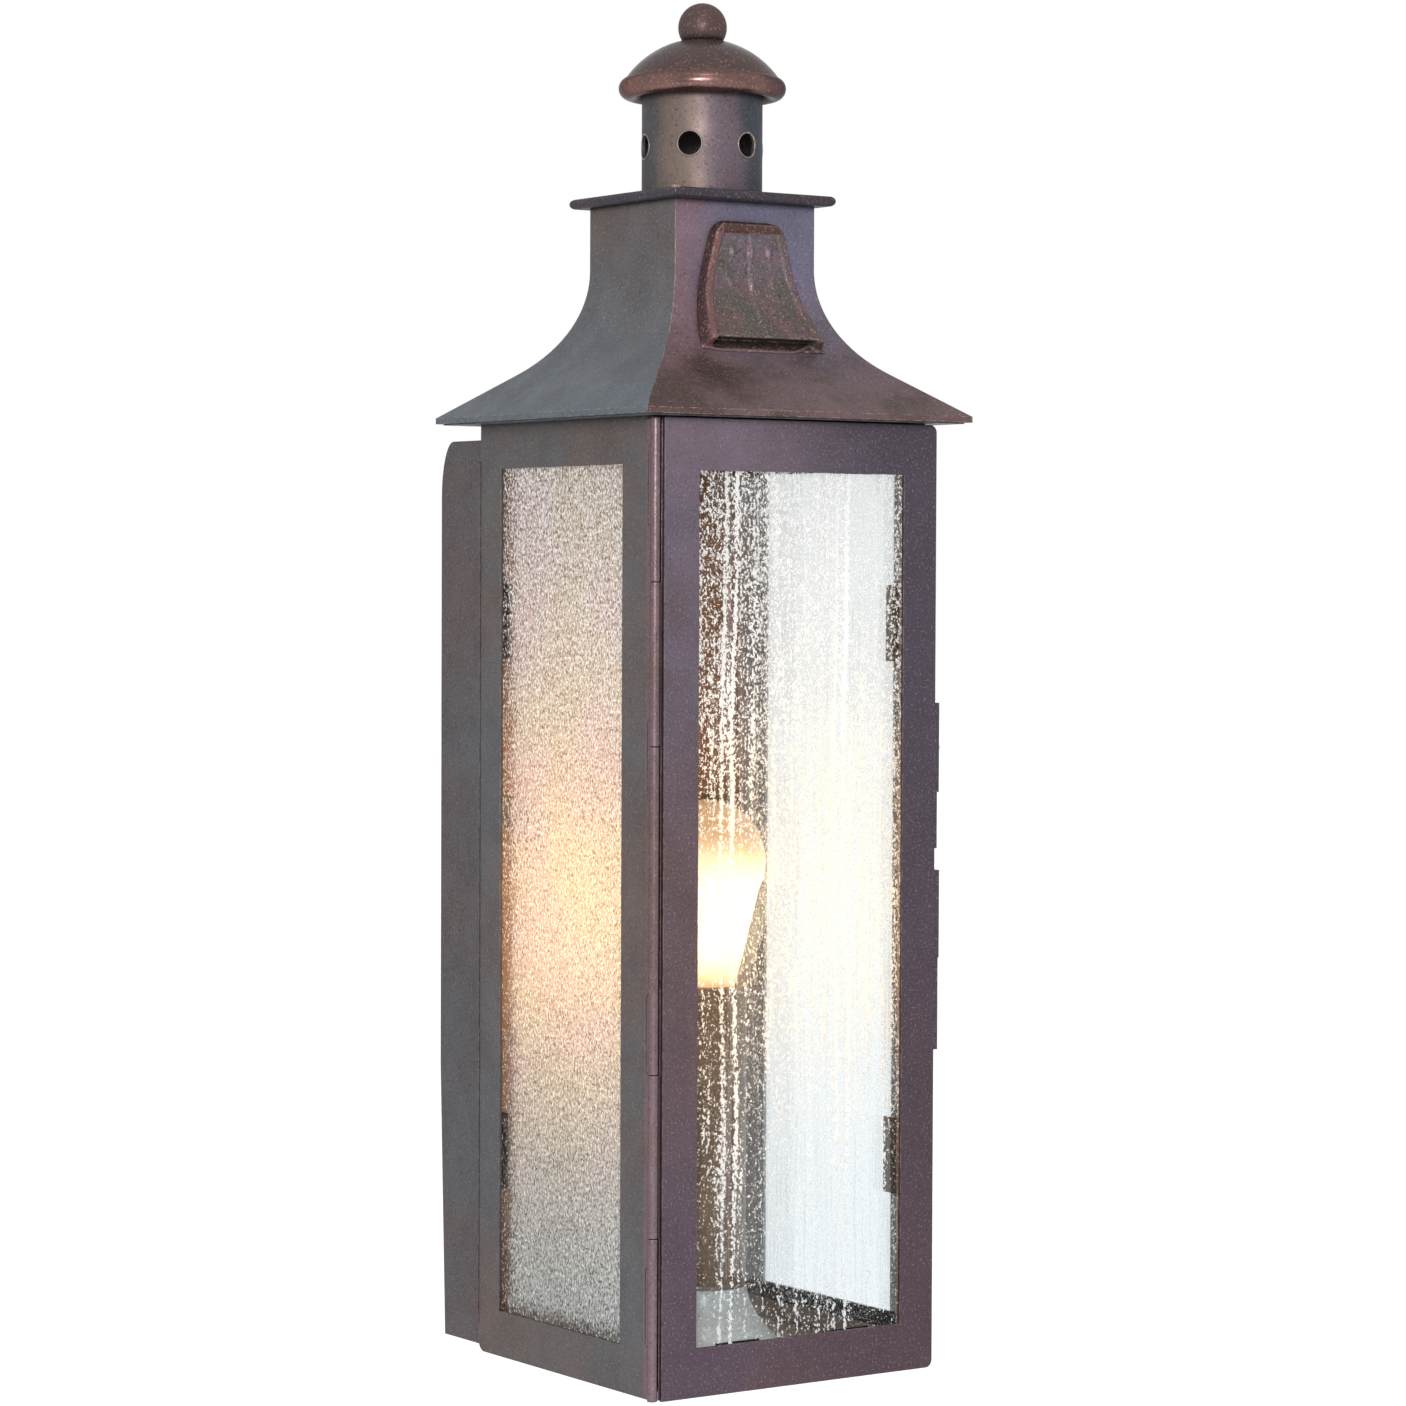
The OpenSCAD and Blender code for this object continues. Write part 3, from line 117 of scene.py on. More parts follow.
# ---------------------------------------------------------------- node helpers
class Graph:
    """The node tree of a new material or world, with one short call for each kind of node."""

    def __init__(self, name, kind="Material"):
        owners = bpy.data.worlds if kind == "World" else bpy.data.materials
        self.owner = owners.new(name)
        self.owner.use_nodes = True
        self.tree = self.owner.node_tree
        self.tree.nodes.clear()
        self.out = self.node("ShaderNodeOutput" + kind)
        if kind == "Material":
            self.coords = self.node("ShaderNodeTexCoord").outputs["Object"]

    def node(self, kind, inputs=None, **settings):
        """A new node with these settings, and with its inputs linked or set."""
        made = self.tree.nodes.new(kind)
        for key, value in settings.items():
            setattr(made, key, value)
        for key, value in (inputs or {}).items():
            self.feed(made.inputs[key], value)
        return made

    def feed(self, socket, value):
        """Links an output to socket, or sets socket to a plain value. None leaves it as it is."""
        if isinstance(value, bpy.types.NodeSocket):
            self.tree.links.new(value, socket)
        elif value is not None:
            socket.default_value = value

    def stretched(self, scale, shift=(0, 0, 0), coords=None):
        """Object coordinates, or coords, times scale and moved by shift."""
        return self.node("ShaderNodeMapping", {
            "Vector": coords or self.coords, "Scale": scale, "Location": shift}).outputs["Vector"]

    def noise(self, scale, detail=3.0, roughness=0.55, coords=None, distortion=0.0):
        """Noise around 0.5, with about scale waves to a metre."""
        return self.node("ShaderNodeTexNoise", {
            "Vector": coords or self.coords, "Scale": scale, "Detail": detail,
            "Roughness": roughness, "Distortion": distortion}).outputs["Fac"]

    def warped(self, scale, reach):
        """Object coordinates pushed sideways by up to reach, in waves of a broad noise."""
        waves = self.node("ShaderNodeTexNoise", {
            "Vector": self.stretched((1, 1, 0.4)), "Scale": scale}).outputs["Color"]
        centred = self.node("ShaderNodeVectorMath", {0: waves, 1: (0.5, 0.5, 0.5)},
                            operation="SUBTRACT").outputs[0]
        return self.node("ShaderNodeVectorMath", {
            0: centred, 1: (2 * reach, 2 * reach, 0), 2: self.coords},
            operation="MULTIPLY_ADD").outputs[0]

    def steps(self, value, low, high, to_low=0.0, to_high=1.0):
        """value from low to high, mapped smoothly to to_low to to_high."""
        return self.node("ShaderNodeMapRange", {
            "Value": value, "From Min": low, "From Max": high, "To Min": to_low, "To Max": to_high},
            interpolation_type="SMOOTHSTEP").outputs["Result"]

    def math(self, operation, a, b=0.0):
        return self.node("ShaderNodeMath", {0: a, 1: b}, operation=operation).outputs[0]

    def moved(self, value, waves, reach):
        """value plus reach times waves."""
        return self.math("ADD", value, self.math("MULTIPLY", waves, reach))

    def mix(self, share, a, b):
        """Colour a where share is 0, and b where it is 1."""
        return self.node("ShaderNodeMix", {"Factor": share, "A": a, "B": b},
                         data_type="RGBA").outputs["Result"]

    def along(self, axis):
        """One object coordinate, in metres."""
        return self.node("ShaderNodeSeparateXYZ", {0: self.coords}).outputs[axis]

    def off(self, axis, middle):
        """How far one object coordinate is from middle."""
        return self.math("ABSOLUTE", self.math("SUBTRACT", self.along(axis), middle))

    def bump(self, value, distance, strength=1.0, normal=None):
        """Normals of a surface that value raises by up to distance, on top of normal."""
        return self.node("ShaderNodeBump", {
            "Height": value, "Distance": distance, "Strength": strength,
            "Normal": normal}).outputs["Normal"]

    def rounded(self, radius):
        """Normals that round the piece's edges over radius."""
        return self.node("ShaderNodeBevel", {"Radius": radius}, samples=4).outputs["Normal"]

    def facing(self, direction):
        """Cosine between the surface's normal and a direction in the world."""
        normal = self.node("ShaderNodeNewGeometry").outputs["Normal"]
        return self.node("ShaderNodeVectorMath", {0: normal, 1: direction},
                         operation="DOT_PRODUCT").outputs["Value"]

    def edges(self, normal, low, high):
        """1 on an edge that rounded() turns, 0 on the flats."""
        return self.steps(self.facing(normal), high, low)

    def creases(self, reach, most):
        """Up to most where other surfaces stand closer than reach."""
        near = self.node("ShaderNodeAmbientOcclusion", {"Distance": reach}, samples=6)
        return self.steps(near.outputs["AO"], 0.25, 0.85, most, 0.0)

    def rays(self, *kinds):
        """1 for rays of these kinds, 0 for the others."""
        path = self.node("ShaderNodeLightPath").outputs
        share = path[kinds[0]]
        for kind in kinds[1:]:
            share = self.math("MAXIMUM", share, path[kind])
        return share

    def blend(self, share, a, b):
        """The shader node that mixes the shader nodes a and b."""
        return self.node("ShaderNodeMixShader", {0: share, 1: a.outputs[0], 2: b.outputs[0]})

    def principled(self, **sockets):
        """A Principled shader node with these sockets."""
        named = {name.replace("_", " "): value for name, value in sockets.items()}
        return self.node("ShaderNodeBsdfPrincipled", named)

    def ended(self, shader):
        """The material or world, with that shader node as its surface."""
        self.feed(self.out.inputs["Surface"], shader.outputs[0])
        return self.owner


def linear(red, green, blue, alpha=1.0):
    """An sRGB colour of 0 to 255 as Blender's linear one."""
    def one(value):
        value /= 255
        return value / 12.92 if value <= 0.04045 else ((value + 0.055) / 1.055) ** 2.4
    return (one(red), one(green), one(blue), alpha)


# ---------------------------------------------------------------- finishes
GRIME = linear(60, 50, 56)
DARK_GRAIN = linear(40, 31, 35)
# Painted shade: the near black that corners and creases are darkened towards.
CREASE_SHADE = linear(24, 17, 18)
DULL_GLOSS = (0.3, 0.32, 0.35, 1)

# The glass: what it lets through, its foot, its warm patches, and its seeds as they scatter light
# back and let it through. The seeds also glow far from and beside the bulb: a painted glint of the
# studio's light, and a painted glow of the bulb's.
GLASS_TINT = (0.948, 0.966, 0.974, 1)
GLASS_FOOT = (0.80, 0.85, 0.84, 1)
GLASS_STRAW = (0.98, 0.92, 0.76, 1)
SEED_BACK = (0.92, 0.95, 0.97, 1)
SEED_THROUGH = (0.95, 0.95, 0.94, 1)
PAINTED_GLINT_FAR = (0.96, 0.99, 1.0, 1)
PAINTED_GLOW_NEAR = (1.0, 0.80, 0.56, 1)


def painted(g, colour, worn, roughness=0.44, grain=1.0, wear=0.6, soft=0.6, metal=0.35):
    """Old paint of that colour: speckled with grain, grimy in patches, darkened in its corners with
    painted shade, and chipped and rubbed to worn on its edges, which are rounded over soft
    millimetres."""
    worn = linear(*worn)
    smoke = g.steps(g.noise(55, 5, 0.65), 0.3, 0.75, 0.0, 0.24)
    colour = g.mix(smoke, colour, GRIME)
    pale = g.steps(g.noise(1150, 2, 0.5), 0.55, 0.72, 0.0, 0.34 * grain)
    colour = g.mix(pale, colour, worn)
    dark = g.noise(1000, 2, 0.5, g.stretched((1, 1, 1), (3, 5, 7)))
    colour = g.mix(g.steps(dark, 0.56, 0.74, 0.0, 0.5 * grain), colour, DARK_GRAIN)
    chips = g.noise(430, 2, 0.5, g.stretched((1, 1, 0.8), (9, 2, 4)))
    colour = g.mix(g.steps(chips, 0.76, 0.79, 0.0, 0.5 * wear), colour, worn)
    edge = g.rounded(soft * MM)
    flecks = g.steps(g.noise(300, 3, 0.6), 0.42, 0.62)
    rubbed = g.math("MULTIPLY", g.edges(edge, 0.90, 0.995), flecks)
    colour = g.mix(g.math("MULTIPLY", rubbed, wear), colour, worn)
    # Painted shade: darker where other surfaces stand closer than 4 mm.
    colour = g.mix(g.creases(4 * MM, 0.8), colour, CREASE_SHADE)
    dulled = g.steps(g.noise(60, 4, 0.6), 0.3, 0.7, roughness - 0.06, roughness + 0.10)
    skin = g.bump(g.noise(420, 4, 0.6), 0.25 * MM, 0.22, edge)
    return g.ended(g.principled(
        Base_Color=colour, Roughness=dulled, Normal=skin, Metallic=metal,
        Specular_IOR_Level=0.25, Specular_Tint=DULL_GLOSS))


def bronze(name, cool, warm, worn=(168, 150, 146), **finish):
    """Weathered bronze paint, cloudy between two tones."""
    g = Graph(name)
    clouds = g.steps(g.noise(16, 4, 0.6, distortion=0.4), 0.36, 0.64)
    return painted(g, g.mix(clouds, linear(*cool), linear(*warm)), worn, **finish)


def roof_paint(name):
    """The roof's paint: its sides go from slate at the eave to umber at the neck. Its front is
    red-brown below, and violet with a red blush at the neck. Which tones a face takes is set by the
    way it faces: painted light, standing in for differently coloured light on the front and the
    sides."""
    g = Graph(name)
    low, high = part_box("roof_shell")
    drifted = g.moved(g.along("Z"), g.noise(20, 4, 0.6), 50 * MM)
    height = g.steps(drifted, low.z + 25 * MM, high.z + 20 * MM)
    # Painted light: faces that look forward take the front's tones, and the others take the sides'.
    front = g.steps(g.facing((0, -1, 0)), 0.2, 0.6)
    clouds = g.steps(g.noise(24, 3, 0.6), 0.4, 0.65)
    umber = g.mix(clouds, linear(103, 98, 99), linear(108, 98, 92))
    sides = g.mix(height, linear(104, 112, 119), umber)
    soot = g.steps(g.noise(34, 3, 0.6, g.stretched((1, 1, 2))), 0.44, 0.62)
    tail = g.mix(soot, linear(112, 90, 90), linear(90, 72, 66))
    blush = g.steps(g.moved(g.along("X"), g.noise(45, 3), 30 * MM), -12 * MM, 10 * MM)
    neck = g.mix(blush, linear(131, 109, 120), linear(116, 114, 136))
    face = g.mix(height, tail, neck)
    # Darker in a ragged patch below the dormer's left corner.
    away = g.moved(g.off("Z", DARK_PATCH_Z), g.off("X", DARK_PATCH_X), 0.6)
    away = g.moved(away, g.noise(90, 4, 0.65), 14 * MM)
    face = g.mix(g.steps(away, 9 * MM, 21 * MM, 0.85, 0), face, linear(72, 53, 47))
    return painted(g, g.mix(front, sides, face), (176, 164, 156), wear=1.0)


def door_paint(name):
    """The door's paint: violet, redder in patches and halfway up. It is lighter at its top with a
    painted highlight, and darker to its foot and latch side with painted shade."""
    g = Graph(name)
    low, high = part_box("door_frame")
    cloud = g.noise(16, 4, 0.6, distortion=0.4)
    height = g.moved(g.along("Z"), cloud, 100 * MM)
    # Painted shade: the door darkens towards its foot.
    up = g.steps(height, low.z + 30 * MM, high.z)
    hinged = g.mix(up, linear(91, 78, 89), linear(108, 98, 110))
    hinged = g.mix(g.steps(cloud, 0.48, 0.64, 0.0, 0.8), hinged, linear(101, 82, 84))
    # Painted highlight: the top rail is lightened against the eave's shade.
    top = g.steps(g.along("Z"), high.z - 34 * MM, high.z - 6 * MM, 0.0, 0.6)
    hinged = g.mix(top, hinged, linear(128, 112, 124))
    halfway = g.steps(g.math("ABSOLUTE", height), 40 * MM, 110 * MM, 0.6, 0)
    hinged = g.mix(halfway, hinged, linear(103, 84, 84))
    # Painted shade: the latch side takes darker copies of the hinge side's tones.
    latch_side_shade = g.mix(up, linear(88, 72, 80), linear(80, 74, 84))
    across = g.steps(g.moved(g.along("X"), cloud, 30 * MM), -30 * MM, high.x)
    return painted(g, g.mix(across, hinged, latch_side_shade), (168, 150, 150))


def stack_paint(name):
    """The vent stack's paint: around the front it goes from grey at the back left over tan and
    violet to slate at the right, set by which way the surface faces. The tan band is partly a
    painted highlight, and the grey and slate at the sides are partly painted shade."""
    g = Graph(name)
    # Which way the surface faces sets its tone: partly painted light and shade on the stack's round
    # side.
    side = g.moved(g.facing((0.82, -0.57, 0)), g.noise(30, 4, 0.6), 0.5)
    tone = g.mix(g.steps(side, -0.6, -0.25), linear(88, 88, 90), linear(126, 111, 103))
    tone = g.mix(g.steps(side, 0.05, 0.6), tone, linear(107, 94, 103))
    tone = g.mix(g.steps(side, 0.85, 1.1), tone, linear(70, 76, 84))
    return painted(g, tone, (156, 143, 136), metal=0.45, roughness=0.5, wear=0.7)


def cap_paint(name):
    """The cap's paint: dull on the dome, red-brown and polished on the rolled bead."""
    g = Graph(name)
    low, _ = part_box("stack_cap")
    ragged = g.moved(g.along("Z"), g.noise(60, 4, 0.6), 3 * MM)
    dome = g.steps(ragged, low.z + 8 * MM, low.z + 11 * MM)
    clouds = g.steps(g.noise(24, 4, 0.6), 0.4, 0.62)
    bead = g.mix(clouds, linear(130, 98, 90), linear(104, 80, 78))
    tone = g.mix(dome, bead, g.mix(clouds, linear(84, 70, 68), linear(84, 66, 62)))
    return painted(g, tone, (214, 190, 176), metal=g.steps(dome, 0, 1, 0.85, 0.35), roughness=0.26,
                   grain=0.7, wear=0.7)


def dormer_size():
    """The relief's outline: its low and high corners, half its width at the top and at the foot,
    and its rim's width."""
    low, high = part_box("dormer_plate")
    low -= Vector((0, 0, 2 * MM))
    high += Vector((0, 0, 2.4 * MM))
    return low, high, 16 * MM, high.x + 1 * MM, 5 * MM


def dormer_paint(name):
    """The dormer's paint: a cloudy face; a ridge that is redder and lighter on the left, partly a
    painted highlight, and umber along the top, partly painted shade; and painted shade on its outer
    wall and in the slot under its ledge.
    """
    g = Graph(name)
    low, high, half_top, half_foot, rim = dormer_size()
    taper = (half_top - half_foot) / (high.z - low.z)
    x, z = g.along("X"), g.along("Z")
    ragged = g.math("MULTIPLY", g.math("SUBTRACT", g.noise(500, 3, 0.6), 0.5), 2 * MM)
    half = g.math("ADD", g.math("MULTIPLY", z, taper), half_foot - taper * low.z)
    side = g.math("SUBTRACT", half, g.math("ABSOLUTE", x))
    top = g.math("SUBTRACT", high.z, z)
    inside = g.math("ADD", g.math("MINIMUM", side, top), ragged)
    crown = g.steps(g.math("ADD", top, ragged), 4.0 * MM, 5.0 * MM, 1, 0)

    cloud = g.noise(75, 4, 0.65)
    up = g.steps(z, low.z + 8 * MM, high.z - 6 * MM)
    face = g.mix(up, linear(98, 86, 80), linear(112, 102, 112))
    face = g.mix(g.steps(cloud, 0.42, 0.52, 0.8, 0.0), face, linear(92, 88, 84))
    face = g.mix(g.steps(cloud, 0.54, 0.64, 0.0, 0.8), face, linear(122, 94, 100))

    # The ridge: lighter red on the left rim, partly a painted highlight, and umber along the top,
    # partly painted shade.
    ridge = g.mix(crown, linear(124, 90, 88), linear(88, 64, 58))
    left = g.steps(x, 0, 3 * MM, 1, 0.15)
    rimmed = g.steps(inside, rim - 0.6 * MM, rim + 0.4 * MM, 1, 0)
    rimmed = g.math("MULTIPLY", rimmed, g.math("MAXIMUM", crown, left))
    tone = g.mix(rimmed, face, ridge)
    # Painted shade along the outer wall.
    wall = g.steps(inside, 0.9 * MM, 1.7 * MM, 0.8, 0)
    tone = g.mix(wall, tone, linear(68, 52, 54))

    # Painted shade in the slot under the ledge.
    rise = g.steps(x, 0.4 * half_foot, half_foot, 0, 4.2 * MM)
    over = g.steps(z, low.z + 4.2 * MM, low.z + 4.9 * MM, 0.95, 0)
    under = g.steps(g.math("SUBTRACT", z, rise), low.z - 0.4 * MM, low.z + 0.4 * MM)
    slot = g.math("MULTIPLY", g.math("MULTIPLY", over, under),
                  g.steps(side, rim - 1 * MM, rim + 1 * MM))
    tone = g.mix(slot, tone, linear(70, 57, 55))
    return painted(g, tone, (186, 162, 152), wear=1.0, soft=1.0, grain=1.4)


def seeded_glass(name, haze, tone, speckle, shine, streaks, fine, rear=None):
    """Clear glass, drawn wavy and full of seeds, with about fine of them to a metre.

    haze is how much of it scatters light everywhere, in that tone, and speckle how much its seeds
    do. shine is how brightly the seeds glow, a painted glint: white, and a dimmer painted orange
    glow of the bulb's light beside the bulb. streaks is how much they crowd into drawn lines. From
    rear backwards, and along the foot, the haze is thin."""
    g = Graph(name)
    low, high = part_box("front_glass")

    # The seeds crowd in the drawn waves, and upwards.
    seeds = g.noise(fine, 2, 0.6, g.stretched((1, 1, 0.7)))
    drawn = g.noise(260, 2, 0.5, g.stretched((1, 1, 0.04), coords=g.warped(28, 2.5 * MM)))
    level = g.moved(seeds, g.noise(30, 3, 0.6, g.stretched((1, 1, 0.3))), 0.16)
    level = g.math("ADD", level, g.steps(drawn, 0.56, 0.68, 0.0, streaks))
    level = g.math("ADD", level, g.steps(g.along("Z"), low.z, high.z, -0.045, 0.03))

    # Upright lines, 54 mm apart around the lantern, that come and go with their height.
    pushed = g.node("ShaderNodeSeparateXYZ", {0: g.warped(13, 5 * MM)}).outputs
    around = g.math("ADD", g.math("ADD", pushed["X"], pushed["Y"]), 189 * MM)
    line = g.steps(g.math("PINGPONG", around, 27 * MM), 0.2 * MM, 1.7 * MM, 1.8 * streaks, 0.0)
    shown = g.steps(g.noise(22, 1, 0.5, g.stretched((1, 1, 0.35))), 0.28, 0.42)
    level = g.moved(level, line, shown)
    marks = g.steps(level, 0.66, 0.71)

    # The haze between the seeds.
    veil = g.steps(seeds, 0.40, 0.60, 0.25 * haze, 1.65 * haze)
    if rear is not None:
        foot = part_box("left_glass")[0].z
        ragged = g.math("MULTIPLY", g.noise(220, 3, 0.6, g.stretched((1, 1, 0.4))), 14 * MM)
        behind = g.math("ADD", g.along("Y"), ragged)
        veil = g.math("MULTIPLY", veil, g.steps(behind, rear, rear + 8 * MM, 1, 0.15))
        above = g.math("SUBTRACT", g.along("Z"), ragged)
        veil = g.math("MULTIPLY", veil, g.steps(above, foot - 2 * MM, foot + 6 * MM, 0.3, 1))
    cover = g.math("MAXIMUM", veil, g.math("MULTIPLY", marks, speckle))
    tone = g.mix(g.steps(g.noise(18, 2, 0.5), 0.42, 0.60, 0.0, 0.7), tone, GLASS_STRAW)
    tone = g.mix(g.steps(g.along("Z"), low.z, (low.z + high.z) / 2), GLASS_FOOT, tone)

    # Painted light: the seeds glow, white far from the bulb and a dimmer orange beside it.
    low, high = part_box("bulb_glass")
    near = g.steps(g.off("Z", (low.z + high.z) / 2), 25 * MM, 95 * MM, 1, 0)
    bright = g.math("MULTIPLY", marks, g.steps(near, 0, 1, shine, 0.55 * shine))
    face = g.principled(
        Base_Color=g.mix(marks, tone, SEED_BACK), Roughness=0.22,
        Emission_Color=g.mix(near, PAINTED_GLINT_FAR, PAINTED_GLOW_NEAR), Emission_Strength=bright,
        Normal=g.bump(seeds, 0.5 * MM))
    glow = g.node("ShaderNodeBsdfTranslucent", {"Color": g.mix(marks, tone, SEED_THROUGH)})

    # What is seen through the glass is partly bent by the drawn waves.
    clear = g.node("ShaderNodeBsdfTransparent", {"Color": GLASS_TINT})
    bent = g.node("ShaderNodeBsdfRefraction", {
        "Color": GLASS_TINT, "Roughness": 0.01, "IOR": 1.15, "Normal": g.bump(drawn, 1.0 * MM)})
    looked_at = g.rays("Is Camera Ray", "Is Transmission Ray")
    through = g.blend(g.math("MULTIPLY", looked_at, 0.13), clear, bent)
    return g.ended(g.blend(cover, through, g.blend(0.5, face, glow)))


def plain_metal(name, colour, roughness=0.35, metallic=1.0):
    """Bare or plated metal with faint scratches and dulling."""
    g = Graph(name)
    dull = g.math("MULTIPLY", g.steps(g.noise(180, 4, 0.6), 0.35, 0.7), 0.35)
    tone = g.mix(dull, linear(*colour), linear(*[0.62 * c for c in colour]))
    rough = g.steps(g.noise(320, 3, 0.6), 0.3, 0.7, roughness - 0.05, roughness + 0.15)
    skin = g.bump(g.noise(900, 2, 0.5), 0.05 * MM, 0.4, g.rounded(0.3 * MM))
    return g.ended(g.principled(Base_Color=tone, Roughness=rough, Normal=skin, Metallic=metallic))


def moulded(name, colour, roughness=0.5):
    """Plastic, rubber or insulation with a fine moulded skin."""
    g = Graph(name)
    clouds = g.steps(g.noise(140, 3, 0.6), 0.3, 0.75, 0.0, 0.3)
    tone = g.mix(clouds, linear(*colour), linear(*[0.8 * c for c in colour]))
    skin = g.bump(g.noise(1500, 2, 0.5), 0.06 * MM, 0.4, g.rounded(0.3 * MM))
    return g.ended(g.principled(Base_Color=tone, Roughness=roughness, Normal=skin))


def frosted_bulb(name):
    """The lit envelope: white-hot around the filament, and orange at its crown. The filament's
    light passes it."""
    g = Graph(name)
    low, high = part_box("bulb_glass")
    far = g.steps(g.off("Z", (low.z + high.z) / 2 - 5 * MM), 2 * MM, 40 * MM)
    lit = g.principled(
        Base_Color=g.mix(far, (0.9, 0.8, 0.66, 1), (0.55, 0.36, 0.2, 1)), Roughness=0.4,
        Emission_Color=g.mix(far, (1.0, 0.74, 0.36, 1), (1.0, 0.50, 0.16, 1)),
        Emission_Strength=g.steps(far, 0, 1, 2.6, 0.3))
    return g.ended(g.blend(g.rays("Is Shadow Ray"), lit, g.node("ShaderNodeBsdfTransparent")))


def worn_edge(name, base, flecks):
    """Paint on a folded edge, rubbed through in flecks."""
    g = Graph(name)
    rubbed = g.math("MULTIPLY", g.steps(g.noise(700, 3, 0.7), 0.50, 0.62),
                    g.steps(g.noise(40, 2), 0.42, 0.62))
    tone = g.mix(rubbed, linear(*base), linear(*flecks))
    skin = g.bump(g.noise(420, 4, 0.6), 0.2 * MM, 0.3)
    return g.ended(g.principled(Base_Color=tone, Roughness=0.38, Normal=skin, Metallic=0.4))


def make_finishes():
    """Every material slot's finish."""
    return {
        "panel_bronze": bronze("panel_bronze", (98, 99, 101), (106, 96, 92)),
        "door_bronze": door_paint("door_bronze"),
        "roof_bronze": roof_paint("roof_bronze"),
        "dormer_bronze": dormer_paint("dormer_bronze"),
        "stack_bronze": stack_paint("stack_bronze"),
        "cap_bronze": cap_paint("cap_bronze"),
        "pan_bronze": bronze("pan_bronze", (94, 94, 96), (98, 88, 88)),
        "clip_metal": bronze("clip_metal", (74, 66, 56), (64, 56, 48)),
        "hinge_metal": bronze("hinge_metal", (122, 104, 110), (118, 98, 96), roughness=0.28,
                              metal=0.7),
        "rivet_metal": bronze("rivet_metal", (112, 100, 100), (108, 92, 90)),
        "screw_steel": plain_metal("screw_steel", (176, 174, 168)),
        "cap_nut_brass": plain_metal("cap_nut_brass", (62, 54, 54), 0.5, 0.2),
        "ground_green": plain_metal("ground_green", (60, 128, 76), 0.4, 0.3),
        "copper_wire": plain_metal("copper_wire", (198, 122, 78), 0.3),
        "grommet_rubber": moulded("grommet_rubber", (34, 33, 33), 0.7),
        "black_insulation": moulded("black_insulation", (30, 30, 31), 0.45),
        "white_insulation": moulded("white_insulation", (224, 223, 217), 0.45),
        "connector_plastic": moulded("connector_plastic", (220, 120, 40), 0.4),
        "cover_bronze": bronze("cover_bronze", (94, 90, 90), (98, 86, 84)),
        "sleeve_finish": bronze("sleeve_finish", (96, 90, 88), (98, 84, 80)),
        "tube_steel": plain_metal("tube_steel", (180, 178, 170), 0.4),
        "socket_plastic": moulded("socket_plastic", (40, 35, 32), 0.4),
        "socket_brass": plain_metal("socket_brass", (205, 178, 112), 0.25),
        "seeded_glass": seeded_glass("seeded_glass", haze=0.02, tone=(0.8, 0.68, 0.6, 1),
                                     speckle=0.9, shine=0.52, streaks=0.11, fine=1050),
        "bulb_metal": plain_metal("bulb_metal", (196, 192, 178), 0.3),
        "bulb_frosted": frosted_bulb("bulb_frosted"),
        "mount_metal": moulded("mount_metal", (210, 206, 198), 0.3),
    }


def dress_nodes(finishes):
    """Gives every CAD node its slot's finish, or the one that it has of its own."""
    stop = bronze("stop_paint", (158, 134, 114), (146, 116, 94), metal=0.1)
    own = {
        # The left pane is a lit copy of the seeded glass: its thick pink haze is painted light, the
        # key lamp's light scattered in it.
        "left_glass": seeded_glass("seeded_glass_painted_haze", haze=0.5, tone=(1.0, 0.87, 0.86, 1),
                                   speckle=0.9, shine=0.32, streaks=0.03, fine=1000,
                                   rear=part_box("left_glass")[1].y - 8 * MM),
        # The floor plate's pale tone is partly painted light: a patch of light falling on it.
        "floor_plate": bronze("floor_bronze", (140, 132, 124), (150, 136, 122)),
        # The back panel and candle sleeve are lighter and warmer than the outer bronze: partly
        # their own rust-brown, partly a painted glow of the bulb's light.
        "back_panel": bronze("back_bronze", (142, 100, 66), (122, 84, 58)),
        "candle_sleeve": bronze("candle_bronze", (130, 106, 84), (116, 92, 72), roughness=0.3),
        "roof_top_plate": bronze("tray_bronze", (68, 65, 74), (70, 62, 66), wear=1.0),
        "left_door_stop": stop,
        "right_door_stop": stop,
        "finial_ball": bronze("ball_bronze", (92, 76, 74), (92, 72, 68), roughness=0.42),
    }
    for entry in frame["record"]["subparts"]:
        for held in NODES[entry["node"]].material_slots:
            held.material = own.get(entry["node"], finishes[entry["material_slot"]])


# ---------------------------------------------------------------- pieces made here
def solid(name, made, finish):
    """A piece from that bmesh, smoothed, with its finish, that rides on the body."""
    bmesh.ops.recalc_face_normals(made, faces=made.faces)
    mesh = bpy.data.meshes.new(name)
    made.to_mesh(mesh)
    made.free()
    mesh.polygons.foreach_set("use_smooth", [True] * len(mesh.polygons))
    mesh.materials.append(finish)
    piece = bpy.data.objects.new(name, mesh)
    bpy.context.scene.collection.objects.link(piece)
    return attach(piece, "body")


def circle(count, first=0.0):
    """count angles around a circle, the first one that share of a step on."""
    return [2 * math.pi * (k + first) / count for k in range(count)]


def smooth(value, low, high):
    """0 below low, 1 above high, eased between them."""
    share = min(1.0, max(0.0, (value - low) / (high - low)))
    return share * share * (3 - 2 * share)


def turned(profile, middle, steps=64):
    """A bmesh of the closed (radius, height) profile turned about the upright axis at middle."""
    made = bmesh.new()
    rings = []
    for angle in circle(steps):
        x, y = math.cos(angle), math.sin(angle)
        rings.append([made.verts.new((middle.x + r * x, middle.y + r * y, z)) for r, z in profile])
    for k in range(steps):
        ring, after = rings[k], rings[(k + 1) % steps]
        for m in range(len(profile)):
            n = (m + 1) % len(profile)
            made.faces.new((ring[m], after[m], after[n], ring[n]))
    return made


